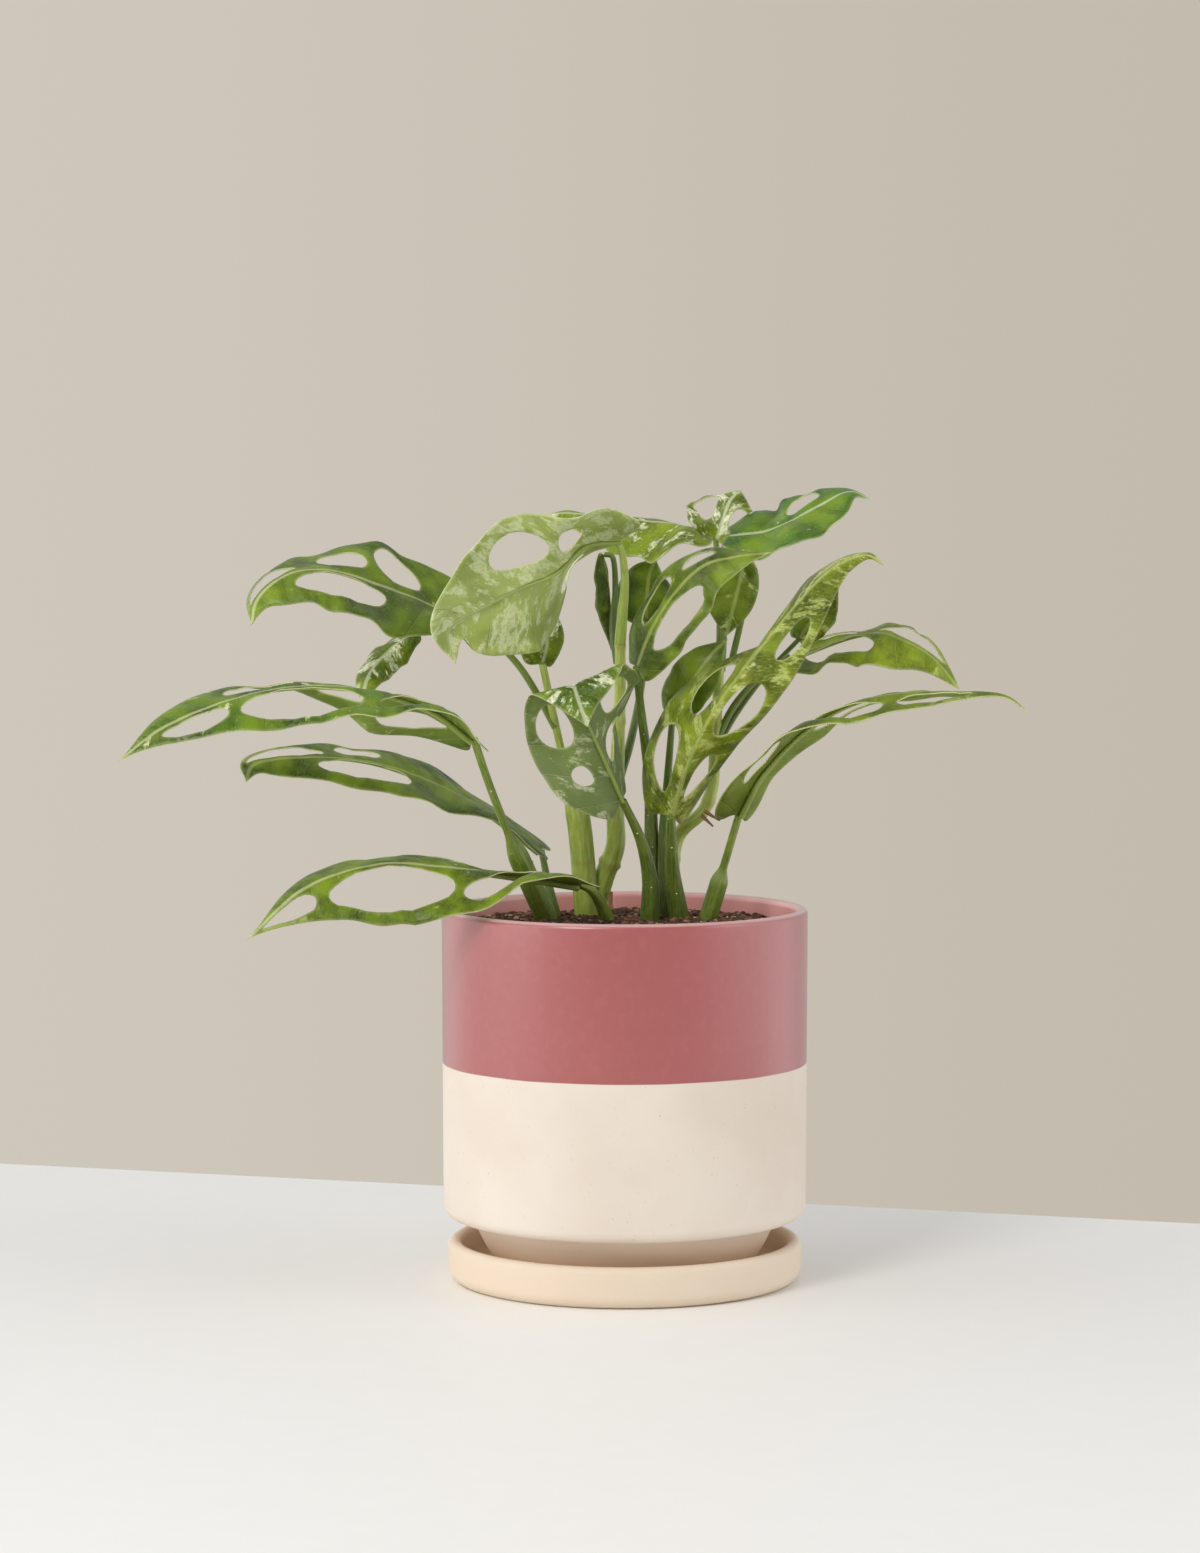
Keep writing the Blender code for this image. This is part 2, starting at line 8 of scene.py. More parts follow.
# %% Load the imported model
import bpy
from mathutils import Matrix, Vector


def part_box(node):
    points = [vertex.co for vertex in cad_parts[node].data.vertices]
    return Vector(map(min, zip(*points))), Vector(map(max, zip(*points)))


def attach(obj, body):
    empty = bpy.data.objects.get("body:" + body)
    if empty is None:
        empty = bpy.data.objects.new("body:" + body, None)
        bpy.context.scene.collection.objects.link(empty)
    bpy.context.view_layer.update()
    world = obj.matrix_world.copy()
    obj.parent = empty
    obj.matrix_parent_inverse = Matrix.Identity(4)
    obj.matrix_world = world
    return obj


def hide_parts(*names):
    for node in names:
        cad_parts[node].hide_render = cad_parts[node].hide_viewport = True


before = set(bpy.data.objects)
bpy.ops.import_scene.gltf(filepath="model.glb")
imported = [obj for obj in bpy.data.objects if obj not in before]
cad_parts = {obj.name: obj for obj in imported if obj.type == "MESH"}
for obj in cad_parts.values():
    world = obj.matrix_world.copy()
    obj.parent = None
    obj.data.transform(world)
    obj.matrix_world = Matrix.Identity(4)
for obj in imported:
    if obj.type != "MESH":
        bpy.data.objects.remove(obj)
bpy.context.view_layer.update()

# %% [markdown]
# ## Tools and units
# The sizes of this lesson are millimetres, because a plant's parts are easy to think of in
# them, and Blender works in metres, so one factor turns one into the other. The levels of the soil and
# of the rim could be typed in again, but they are read from the imported solids, so that they can't
# disagree.

# %% Tools and units
from collections import namedtuple
from math import cos, pi, radians, sin

import bmesh
import bpy
import numpy as np
from mathutils import Matrix, Vector, noise
from mathutils.geometry import delaunay_2d_cdt

MM = 0.001


def level(node):
    """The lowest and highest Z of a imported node, in mm."""
    low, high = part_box(node)
    return low.z / MM, high.z / MM


def reach(node):
    """The radius of a packed round node, in mm."""
    low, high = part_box(node)
    return (high.x - low.x) / 2 / MM


SOIL_LEVEL = level("soil")[1]
RIM_LEVEL = level("pot")[1]
POT_RADIUS = reach("pot")
SAUCER_RADIUS = reach("saucer")
print(f"soil at {SOIL_LEVEL:.1f} mm, rim at {RIM_LEVEL:.1f} mm, pot radius {POT_RADIUS:.1f} mm")

# %% [markdown]
# ## The camera
# The view is from straight in front with a long lens, a little above the rim, looking slightly down. A
# long lens keeps the pot's sides almost parallel, as the eye sees a thing on a table.

# %% Make the camera
CAMERA_PLACE = (-0.0108, -1.7418, 0.327)
CAMERA_TILT = 3.5
LENS = 92.7
SENSOR_WIDTH = 36

camera = bpy.data.objects.new("camera", bpy.data.cameras.new("camera"))
bpy.context.scene.collection.objects.link(camera)
bpy.context.scene.camera = camera
camera.location = CAMERA_PLACE
camera.rotation_euler = (radians(90 - CAMERA_TILT), 0, 0)
camera.data.lens = LENS
camera.data.sensor_width = SENSOR_WIDTH
print("camera", round(camera.location.length, 3), "m from the origin")

# %% [markdown]
# ## Writing nodes as sums
# A material or a Geometry Nodes tree is a board of nodes joined by wires. Clicking dozens of Math nodes
# together is slow to read, so a small class lets an output be added, multiplied or compared as if it
# were a number. Each operator adds the node that does that sum.

# %% A wire that takes Python's operators, and a board to pin nodes on
class Wire:
    """The output of a node. An operator on it adds one Math node to its board."""

    def __init__(self, board, socket):
        self.board = board
        self.socket = socket

    def maths(self, operation, *values):
        return self.board.node("ShaderNodeMath", {"operation": operation}, dict(enumerate(values)))

    def __add__(self, other):
        return self.maths("ADD", self, other)

    def __sub__(self, other):
        return self.maths("SUBTRACT", self, other)

    def __rsub__(self, other):
        return self.maths("SUBTRACT", other, self)

    def __mul__(self, other):
        return self.maths("MULTIPLY", self, other)

    def __truediv__(self, other):
        return self.maths("DIVIDE", self, other)

    def __pow__(self, other):
        return self.maths("POWER", self, other)

    def __neg__(self):
        return self * -1

    def cosine(self):
        return self.maths("COSINE", self)

    def size(self):
        return self.maths("ABSOLUTE", self)

    def most(self, other):
        return self.maths("MAXIMUM", self, other)

    def fraction(self):
        return self.maths("FRACT", self)

    def rise(self, low, high):
        """0 up to low, 1 from high on, and a smooth step between."""
        settings = {"interpolation_type": "SMOOTHSTEP"}
        values = {0: self, 1: low, 2: high, 3: 0.0, 4: 1.0}
        return self.board.node("ShaderNodeMapRange", settings, values)

    __radd__ = __add__
    __rmul__ = __mul__


class Board:
    """A node tree with one method that adds any node."""

    def __init__(self, tree):
        self.tree = tree

    def node(self, kind, settings=None, values=None, output=0):
        made = self.tree.nodes.new(kind)
        for name, value in (settings or {}).items():
            setattr(made, name, value)
        for key, value in (values or {}).items():
            self.feed(made.inputs[key], value)
        return Wire(self, made.outputs[output])

    def feed(self, socket, value):
        if isinstance(value, Wire):
            self.tree.links.new(value.socket, socket)
        else:
            socket.default_value = value

    def vector(self, x, y, z):
        return self.node("ShaderNodeCombineXYZ", values={0: x, 1: y, 2: z})

    def noise(self, place, scale, detail=2.0, roughness=0.5):
        values = {"Vector": place, "Scale": scale, "Detail": detail, "Roughness": roughness}
        return self.node("ShaderNodeTexNoise", values=values)


print("boards and wires ready")

# %% [markdown]
# ## Finishes
# Colours are typed as they look on a screen, 0 to 255, and turned into the light values that the shader
# needs. A finish is one Principled shader. What changes over the surface is wired to its colour,
# roughness or normal, and what stays the same is set once on its own socket.

# %% Colours and the finish class
def colour(red, green, blue):
    """Screen colour, 0 to 255, as linear light with full alpha."""
    share = np.array([red, green, blue]) / 255
    linear = np.where(share <= 0.04045, share / 12.92, ((share + 0.055) / 1.055) ** 2.4)
    return (*(float(value) for value in linear), 1.0)


class Finish(Board):
    """A material of one Principled shader, with the mixes that the plant and the pot need."""

    def __init__(self, name, **constants):
        self.material = bpy.data.materials.new(name)
        self.material.use_nodes = True
        super().__init__(self.material.node_tree)
        self.shader = self.tree.nodes["Principled BSDF"]
        for socket, value in constants.items():
            self.shader.inputs[socket.replace("_", " ")].default_value = value

    def place(self):
        return self.node("ShaderNodeTexCoord", output="Object")

    def attribute(self, name):
        return self.node("ShaderNodeAttribute", {"attribute_name": name}, output="Fac")

    def mix(self, share, first, second):
        """The first colour where share is 0, the second where it is 1."""
        values = {0: share, 6: first, 7: second}
        return self.node("ShaderNodeMix", {"data_type": "RGBA"}, values, output=2)

    def stretch(self, place, scales):
        values = {0: place, 1: scales}
        return self.node("ShaderNodeVectorMath", {"operation": "MULTIPLY"}, values)

    def wear(self, colour_wire, roughness, height=None, depth=0.0002, strength=0.5):
        """Wires colour, roughness and, through a Bump node, the fine relief; depth is in metres."""
        self.feed(self.shader.inputs["Base Color"], colour_wire)
        self.feed(self.shader.inputs["Roughness"], roughness)
        if height is not None:
            values = {"Height": height, "Distance": depth, "Strength": strength}
            self.feed(self.shader.inputs["Normal"], self.node("ShaderNodeBump", values=values))
        return self.material


print("white paper is", [round(value, 3) for value in colour(236, 234, 230)])

# %% [markdown]
# ## The pot and the saucer
# Both are turned on a wheel, so each is one outline spun round the pot's axis. A subdivided cylinder
# would also be round, but its lip and foot would have to be pulled out by hand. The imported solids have
# few sides; here the outline is spun in many more steps, so that the rim looks truly round.

# %% Spin an outline
TURNED_STEPS = 160
SHARP_ANGLE = radians(35)


def arc(centre, radius, start, end, steps):
    """Points of an arc in the (radius, height) plane; angles in degrees, anticlockwise."""
    angles = np.radians(np.linspace(start, end, steps + 1))
    return [(centre[0] + radius * cos(a), centre[1] + radius * sin(a)) for a in angles]


def straight(start, end, steps):
    """Points along a straight run, without its first one."""
    return [tuple(point) for point in np.linspace(start, end, steps + 1)[1:]]


def add_piece(name, mesh, material):
    piece = bpy.data.objects.new(name, mesh)
    if material:
        mesh.materials.clear()
        mesh.materials.append(material)
    bpy.context.scene.collection.objects.link(piece)
    return piece


def spin(name, outline, material):
    """A closed solid of revolution round Z from a (radius, height) outline in mm."""
    mesh = bpy.data.meshes.new(name)
    work = bmesh.new()
    points = [work.verts.new((r * MM, 0, z * MM)) for r, z in outline]
    touches_axis = outline[0][0] == 0
    following = points[1:] if touches_axis else points[1:] + points[:1]
    edges = [work.edges.new(pair) for pair in zip(points, following)]
    bmesh.ops.spin(work, geom=points + edges, cent=(0, 0, 0), axis=(0, 0, 1),
                   angle=2 * pi, steps=TURNED_STEPS, use_merge=True)
    bmesh.ops.remove_doubles(work, verts=work.verts[:], dist=1e-6)
    bmesh.ops.recalc_face_normals(work, faces=work.faces[:])
    work.to_mesh(mesh)
    work.free()
    mesh.shade_smooth()
    mesh.set_sharp_from_angle(angle=SHARP_ANGLE)
    return add_piece(name, mesh, material)


print("an outline is spun in", TURNED_STEPS, "steps")

# %% [markdown]
# The pot's lower part is bare pale clay with faint specks, and its upper part was dipped in a pink
# glaze that also runs over the rim and down inside. Where the glaze stops, its edge wavers a little and
# is a touch darker. Height decides which of the two shows, so one finish holds both. Light is painted
# in too. The glaze inside the wall is a lighter pink, a painted light and reflection. The top of the
# rim is paler, a painted highlight. The bare clay near the foot is warmer, a painted warm light on
# the shaded foot.

# %% The pot's finish and shape
GLAZE_LINE = 96.0
POT_WALL = 5.0
POT_TAPER = 0.6
FOOT_RADIUS = 52.0
FOOT_FLARE = 15.0
FOOT_SWELL = 0.6
FOOT_HEIGHT = 23.0
FOOT_INSIDE = 47.0
HOLE_RADIUS = 6.0
CORNER = 5.0
CHAMFER = 0.4
CLAY_GRAIN_DEPTH = 0.00008


def ceramic_finish(name, glazed):
    finish = Finish(name, Coat_Roughness=0.32)
    place = finish.place()
    height = finish.node("ShaderNodeSeparateXYZ", values={0: place}, output="Z") * 1000
    clay_cloud = finish.noise(place, 18, 3)
    speck_noise = finish.noise(place, 900, 1)
    specks = speck_noise.rise(0.70, 0.76) * finish.noise(place, 120, 1).rise(0.45, 0.6)
    clay = finish.mix(clay_cloud.rise(0.3, 0.7), colour(225, 211, 196), colour(232, 221, 208))
    clay = finish.mix(specks * 0.35, clay, colour(176, 146, 116))
    clay_rough = 0.66 + 0.12 * clay_cloud
    turning_lines = finish.noise(finish.stretch(place, (1, 1, 40)), 14, 2)
    clay_relief = finish.noise(place, 1400, 2) * 0.4 + turning_lines
    if not glazed:
        clay = finish.mix(0.6, clay, colour(230, 209, 182))
        return finish.wear(clay, clay_rough, clay_relief, CLAY_GRAIN_DEPTH, 0.5)
    wander = (finish.noise(place, 22, 2) - 0.5) * 0.7
    dipped = (height + wander).rise(GLAZE_LINE - 0.25, GLAZE_LINE + 0.25)
    pool = (height + wander).rise(GLAZE_LINE, GLAZE_LINE + 2.5)
    # Painted warm light: the bare clay near the foot is warmer and brighter, for the foot that stands in
    # the saucer's shade.
    clay = finish.mix((1 - height.rise(12, 34)) * 0.75, clay, colour(243, 207, 171))
    glaze_cloud = finish.noise(place, 9, 3).rise(0.25, 0.75)
    glaze = finish.mix(glaze_cloud, colour(164, 82, 81), colour(172, 90, 88))
    mottle = finish.noise(place, 260, 3).rise(0.45, 0.75)
    glaze = finish.mix(mottle * 0.10, glaze, colour(198, 122, 118))
    glaze = finish.mix((1 - pool) * 0.35, glaze, colour(166, 84, 80))
    flat_place = finish.stretch(place, (1000.0, 1000.0, 0.0))
    length = {"operation": "LENGTH"}
    outward = finish.node("ShaderNodeVectorMath", length, {0: flat_place}, output="Value")
    # Painted light: inside the wall the glaze is a lighter pink, for the lit inner wall and its
    # reflection of the room.
    inside = 1 - outward.rise(POT_RADIUS - POT_WALL + 0.6, POT_RADIUS - POT_WALL + 1.6)
    glaze = finish.mix(inside, glaze, colour(246, 170, 168))
    # Painted highlight: the top of the rim is a paler pink, where the lip catches the light.
    rim = height.rise(RIM_LEVEL - 1.5, RIM_LEVEL - 0.4)
    glaze = finish.mix(rim * 0.6, glaze, colour(240, 204, 202))
    finish.feed(finish.shader.inputs["Coat Weight"], dipped * 0.9)
    both_rough = clay_rough + (0.30 - clay_rough) * dipped
    relief = clay_relief * (1 - dipped) + finish.noise(place, 160, 2) * 0.35 * dipped + dipped * 3
    return finish.wear(finish.mix(dipped, clay, glaze), both_rough, relief, CLAY_GRAIN_DEPTH, 0.5)


def make_pot():
    lip = POT_WALL / 2
    seat = level("pot")[0]
    shoulder = seat + FOOT_HEIGHT
    corner = shoulder + CORNER
    side_bottom = POT_RADIUS - POT_TAPER
    outline = [(HOLE_RADIUS, seat + 2.5), (42.5, seat + 2.5), (45.0, seat)]
    outline += [(FOOT_RADIUS - CHAMFER, seat), (FOOT_RADIUS, seat + CHAMFER)]
    for share in np.linspace(0, 1, 15)[1:]:
        height = seat + CHAMFER + (FOOT_HEIGHT - CHAMFER) * share
        outline.append((FOOT_RADIUS + FOOT_FLARE * share ** FOOT_SWELL, height))
    outline += arc((side_bottom - CORNER, corner), CORNER, -90, 0, 10)
    outline += straight((side_bottom, corner), (POT_RADIUS, RIM_LEVEL - lip), 12)
    outline += arc((POT_RADIUS - lip, RIM_LEVEL - lip), lip, 0, 180, 14)[1:]
    outline += straight((POT_RADIUS - POT_WALL, RIM_LEVEL - lip), (POT_RADIUS - POT_WALL, corner + 5), 8)
    outline += [(POT_RADIUS - 10, corner), (FOOT_INSIDE, corner), (FOOT_INSIDE, seat + 7)]
    outline += [(HOLE_RADIUS, seat + 7)]
    return spin("pot_turned", outline, ceramic_finish("two_tone_pot", True))


pot = make_pot()
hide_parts("pot")
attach(pot, "root")
print("pot:", len(pot.data.polygons), "faces")

# %% [markdown]
# The saucer is the same pale clay, a little warmer, with a round lip and a flat underside. It is spun
# like the pot, in the same finish without its glaze, so that the two look fired together.

# %% The saucer
def make_saucer():
    base, top = level("saucer")
    lip, corner, floor = 3.0, 6.0, 5.0
    inner = SAUCER_RADIUS - 2 * lip
    outline = [(0.0, base), (SAUCER_RADIUS - 7.5, base)]
    outline += arc((SAUCER_RADIUS - corner, base + corner), corner, -88, 0, 10)
    outline += straight((SAUCER_RADIUS, base + corner), (SAUCER_RADIUS, top - lip), 3)
    outline += arc((SAUCER_RADIUS - lip, top - lip), lip, 0, 180, 12)[1:]
    outline += arc((inner - lip, floor + lip), lip, 0, -90, 6)
    outline += [(0.0, floor)]
    return spin("saucer_turned", outline, ceramic_finish("bare_clay_saucer", False))


saucer = make_saucer()
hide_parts("saucer")
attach(saucer, "root")
print("saucer:", len(saucer.data.polygons), "faces")

# %% [markdown]
# ## Paths that stems and leaves follow
# A stalk or a leaf's midrib is a smooth path through a few given points, in millimetres from the
# centre of the soil's surface. A Catmull-Rom curve is used because it passes through every point, which
# a Bezier's handles would make harder to place. The direction in which a leaf faces is carried along
# its path without spin, so the blade never twists by accident.

# %% Smooth paths
PATH_STEPS = 48
RIB_STATIONS = 60


def smooth_path(points, count):
    """Evenly spaced points, in mm, on the Catmull-Rom curve through the given ones, and its length."""
    points = np.asarray(points, float)
    first = 2 * points[0] - points[1]
    last = 2 * points[-1] - points[-2]
    hull = np.vstack([first, points, last])
    t = np.linspace(0, 1, PATH_STEPS, endpoint=False)[:, None]
    runs = []
    for a, b, c, d in zip(hull, hull[1:], hull[2:], hull[3:]):
        bend = 2 * a - 5 * b + 4 * c - d + t * (3 * (b - c) + d - a)
        runs.append(b + 0.5 * t * (c - a + t * bend))
    dense = np.vstack([*runs, points[-1:]])
    travelled = np.concatenate([[0.0], np.cumsum(np.linalg.norm(np.diff(dense, axis=0), axis=1))])
    places = np.linspace(0, travelled[-1], count)
    even = [np.interp(places, travelled, dense[:, k]) for k in range(3)]
    return np.stack(even, axis=1), travelled[-1]


def unit(vectors):
    return vectors / np.linalg.norm(vectors, axis=-1, keepdims=True)


def carried_frames(path, face, twist):
    """Tangent, face and side directions along a path, carried without spin and then twisted evenly."""
    tangents = unit(np.gradient(path, axis=0))
    facing = np.asarray(face, float)
    faces = []
    for tangent in tangents:
        facing = unit(facing - tangent * facing.dot(tangent))
        faces.append(facing)
    faces = np.array(faces)
    sides = np.cross(tangents, faces)
    turn = np.radians(np.linspace(0, twist, len(path)))[:, None]
    turned_faces = faces * np.cos(turn) + sides * np.sin(turn)
    return tangents, turned_faces, sides * np.cos(turn) - faces * np.sin(turn)


print("paths ready")

# %% [markdown]
# ## The leaves
# Each leaf is described by its midrib, the way its upper side faces at the base, the width of its two
# halves and how far each half hangs at five even stations from base to tip. Holes are given as shares
# of the length and of the half width, so they follow the blade when it changes.

# %% The leaves' shapes
LEFT, RIGHT = -1, 1
DROOP_STATIONS = (0.0, 0.25, 0.5, 0.75, 1.0)
Leaf = namedtuple("Leaf", "name spine face twist half_widths droop curl holes")

LEAVES = [
    Leaf("low_left",
         [(-20, -10, 17), (-47, -24, 22), (-79, -38, 27), (-105, -50, 29), (-135, -62, 20),
          (-159, -72, -1)],
         (0, 0, 1), 0, (31, 24), ((-10, 0, 58, 60, 45), (-10, -5, -9, -5, 10)), 10,
         [(LEFT, 0.39, 0.75, 0.07, 0.84), (LEFT, 0.79, 0.95, 0.12, 0.78), (LEFT, 0.17, 0.37, 0.30, 0.84),
          (RIGHT, 0.2, 0.42, 0.25, 0.84)]),
    Leaf("mid_left",
         [(-37, 37, 28), (-61, 35, 46), (-87, 24, 60), (-111, 8, 69), (-137, -8, 72), (-159, -20, 70),
          (-162, -38, 63)],
         (0, 0, 1), 0, (22, 22), ((0, 5, 20, 22, 22), (-10, -15, -10, -5, -5)), 10,
         [(RIGHT, 0.68, 0.9, 0.12, 0.8), (RIGHT, 0.5, 0.63, 0.25, 0.8), (LEFT, 0.44, 0.72, 0.07, 0.72)]),
    Leaf("long_left",
         [(-65, -28, 81), (-82, -36, 94), (-108, -48, 103), (-137, -62, 105), (-164, -74, 100),
          (-191, -84, 89), (-210, -90, 75)],
         (0, 0, 1), 0, (30, 26), ((5, 5, 28, 28, 25), (25, 35, -5, -15, -15)), 10,
         [(LEFT, 0.36, 0.68, 0.08, 0.87), (LEFT, 0.71, 0.88, 0.15, 0.78), (RIGHT, 0.5, 0.68, 0.2, 0.78),
          (RIGHT, 0.07, 0.26, 0.25, 0.8), (RIGHT, 0.3, 0.45, 0.25, 0.75),
          (LEFT, 0.14, 0.32, 0.35, 0.85)]),
    Leaf("upper_left",
         [(-74, 2, 133), (-89, -6, 140), (-104, -14, 146), (-125, -24, 153), (-143, -32, 152),
          (-156, -38, 142), (-159, -42, 130)],
         (0, -0.5, 0.9), 0, (31, 31), ((5, 5, 5, 5, 5), (-25, -20, 5, 25, 25)), 10,
         [(LEFT, 0.34, 0.74, 0.08, 0.7), (RIGHT, 0.40, 0.57, 0.2, 0.72), (RIGHT, 0.16, 0.36, 0.15, 0.84),
          (RIGHT, 0.68, 0.92, 0.12, 0.82)]),
    Leaf("small_left",
         [(-93, 6, 126), (-103, -2, 118), (-111, -10, 108), (-114, -16, 96)],
         (0, -0.3, 0.95), 0, (10, 10), ((20, 20, 25, 30, 30), (10, 10, 10, 10, 10)), 10, []),
    Leaf("pale_front",
         [(-3, -6, 165), (-18, -16, 163), (-30, -26, 152), (-46, -34, 145), (-61, -40, 137),
          (-75, -44, 128), (-72, -46, 114)],
         (-0.55, 0.83, 0), 0, (33, 31), ((60, 45, 5, 8, 20), (-80, -50, -12, 0, 0)), 5,
         [(LEFT, 0.38, 0.60, 0.28, 0.78), (LEFT, 0.2, 0.33, 0.25, 0.75), (RIGHT, 0.12, 0.3, 0.3, 0.8)]),
    Leaf("hanging_centre",
         [(-9, 14, 160), (-7, 14, 149), (-6, 16, 136), (-6, 18, 118)],
         (0.9, -0.4, 0.2), 0, (7, 7), ((30, 40, 50, 50, 50), (30, 40, 50, 50, 50)), 10, []),
    Leaf("under_pale",
         [(-36, 6, 112), (-34, 2, 123), (-38, 2, 134), (-48, 6, 141)],
         (0.3, -0.9, 0.3), 0, (14, 8), ((0, 0, 5, 10, 10), (0, 0, 5, 10, 10)), 10, []),
    Leaf("top_back",
         [(40, 34, 169), (25, 38, 173), (7, 40, 175), (-11, 38, 177), (-28, 32, 178), (-35, 30, 177)],
         (0, 0, 1), 0, (26, 24), ((15, 30, 38, 35, 30), (5, 5, 5, 5, 5)), 10,
         [(LEFT, 0.55, 0.75, 0.3, 0.8), (RIGHT, 0.3, 0.55, 0.3, 0.8)]),
    Leaf("top_right",
         [(45, -2, 168), (61, -6, 170), (73, -8, 175), (86, -8, 182), (97, -6, 187), (106, -4, 184)],
         (0, -0.5, 0.87), 0, (22, 22), ((0, 0, 0, 0, 0), (0, 0, 0, 10, 10)), 5,
         [(LEFT, 0.42, 0.68, 0.2, 0.75)]),
    Leaf("crown",
         [(40, 16, 166), (43, 14, 175), (46, 16, 183), (51, 22, 188)],
         (-0.3, -0.9, 0.4), 0, (20, 14), ((0, 0, 5, 10, 10), (0, 0, 5, 10, 10)), 10,
         [(LEFT, 0.25, 0.75, 0.25, 0.85), (RIGHT, 0.25, 0.6, 0.25, 0.75)]),
    Leaf("folded_centre",
         [(5, -4, 111), (11, -14, 127), (21, -22, 143), (33, -28, 155), (47, -32, 159), (62, -36, 161)],
         (-0.3, -0.8, 0.5), 0, (16, 18), ((10, 15, 20, 40, 60), (10, 10, 10, 0, -20)), 5,
         [(LEFT, 0.22, 0.48, 0.2, 0.8), (RIGHT, 0.16, 0.6, 0.15, 0.8), (LEFT, 0.56, 0.72, 0.3, 0.75)]),
    Leaf("centre_right",
         [(52, 4, 157), (50, 1, 148), (47, 0, 136), (44, 1, 124)],
         (0, -1, 0), 0, (9, 15), ((0, 0, 5, 10, 10), (0, 0, 5, 10, 10)), 10, []),
    Leaf("big_right",
         [(20, -6, 46), (26, -14, 67), (38, -26, 93), (58, -38, 121), (83, -50, 151), (100, -56, 160),
          (108, -60, 156)],
         (-0.3, -0.9, 0.2), 0, (30, 20), ((10, 30, 75, 68, 80), (65, 45, 5, 25, 45)), 5,
         [(RIGHT, 0.27, 0.48, 0.15, 0.84), (LEFT, 0.06, 0.22, 0.25, 0.84), (LEFT, 0.28, 0.44, 0.2, 0.8),
          (RIGHT, 0.06, 0.2, 0.3, 0.8), (RIGHT, 0.56, 0.7, 0.3, 0.75), (LEFT, 0.78, 0.88, 0.3, 0.7)]),
    Leaf("front_left",
         [(-1, -6, 53), (-7, -13, 67), (-15, -22, 85), (-20, -27, 97), (-22, -34, 104), (-20, -43, 98),
          (-16, -47, 87)],
         (0, 1, 0.3), 0, (33, 28), ((-85, -80, -40, -10, 0), (60, 20, 0, 0, 0)), 5,
         [(RIGHT, 0.40, 0.64, 0.25, 0.82), (RIGHT, 0.19, 0.29, 0.3, 0.62), (LEFT, 0.16, 0.36, 0.2, 0.82),
          (LEFT, 0.44, 0.62, 0.3, 0.8)]),
    Leaf("low_right",
         [(50, 5, 46), (59, -4, 64), (76, -14, 83), (97, -24, 96), (119, -34, 101), (142, -44, 102),
          (160, -50, 101), (170, -52, 94)],
         (0, 0, 1), 0, (17, 23), ((-10, -10, -12, -5, 0), (-10, 10, 32, 38, 30)), 10,
         [(RIGHT, 0.36, 0.6, 0.2, 0.84), (RIGHT, 0.64, 0.84, 0.2, 0.8), (LEFT, 0.34, 0.58, 0.25, 0.87),
          (RIGHT, 0.12, 0.28, 0.3, 0.8)]),
    Leaf("mid_right",
         [(73, 20, 115), (97, 4, 124), (111, -6, 126), (120, -12, 123), (132, -16, 116), (144, -20, 102)],
         (0, 0, 1), 0, (20, 24), ((-15, -15, -8, -10, -20), (30, 30, 30, 30, 30)), 5,
         [(RIGHT, 0.12, 0.54, 0.12, 0.76), (LEFT, 0.48, 0.86, 0.1, 0.82), (LEFT, 0.14, 0.36, 0.3, 0.8)]),
    Leaf("behind_right",
         [(77, 30, 122), (86, 29, 135), (95, 28, 146)],
         (-0.4, -0.8, 0.4), 0, (10, 10), ((0, 0, 5, 10, 10), (0, 0, 5, 10, 10)), 5, []),
    Leaf("inner_centre",
         [(21, 10, 90), (28, 6, 102), (36, 4, 114), (45, 6, 123)],
         (-0.3, -0.9, 0.3), 0, (12, 11), ((0, 0, 5, 10, 10), (0, 0, 5, 10, 10)), 5, []),
    Leaf("inner_dark",
         [(10, 40, 130), (10, 38, 140), (11, 36, 150), (14, 36, 158)],
         (0.2, -0.95, 0.3), 0, (14, 12), ((0, 0, 5, 10, 10), (0, 0, 5, 10, 10)), 5, []),
]
print(len(LEAVES), "leaves")

# %% [markdown]
# A blade is drawn flat first. One half runs from the notch at the base round to the drawn-out tip and
# back down the midrib, its holes are loops inside that outline, and a grid of inner points gives it
# enough faces to bend smoothly. A constrained triangulation joins them and leaves the holes open, which
# is cleaner than cutting holes into a finished blade with a Boolean.

# %% One flat half of a blade
EDGE_STEPS = 72
HOLE_STEPS = 26
GRID = 2.0
LOBE = 0.06
LOBE_PEAK = 0.05
HOLE_SLANT = 0.10
HOLE_CLEARANCE = 0.45
ROW_PITCH = 0.87


def blade_width(share):
    """Half width at a share of the length, as a share of the widest: round base, pointed tip."""
    return np.sin(pi * share ** 0.75) ** (0.6 + 0.5 * share ** 3)


def blade_along(share):
    """Distance along the midrib as a share of the length: the lobes reach back behind the base."""
    return share - LOBE * (share / LOBE_PEAK) * np.exp(1 - share / LOBE_PEAK)


def half_outline(length, half_width, side):
    share = 0.5 - 0.5 * np.cos(np.linspace(0, pi, EDGE_STEPS + 1)[1:-1])
    edge = np.stack([length * blade_along(share), side * half_width * blade_width(share)], axis=1)
    rib_steps = max(12, round(length / GRID))
    rib = np.array([(length * share, 0.0) for share in np.linspace(1, 0, rib_steps + 1)])
    return edge, rib


def hole_outline(hole, length, half_width):
    """An eye-shaped hole, slanted towards the tip as the side veins are."""
    side, start, end, inner, outer = hole
    turn = np.linspace(0, 2 * pi, HOLE_STEPS, endpoint=False)
    out = np.sin(turn)
    share = (start + end) / 2 + (end - start) / 2 * np.cos(turn) * (1 - 0.12 * out)
    share = share + HOLE_SLANT * (end - start) * out
    middle, half = (inner + outer) / 2, (outer - inner) / 2
    reached = middle + half * np.sign(out) * np.abs(out) ** 0.9
    return np.stack([length * share, side * half_width * blade_width(share) * reached], axis=1)


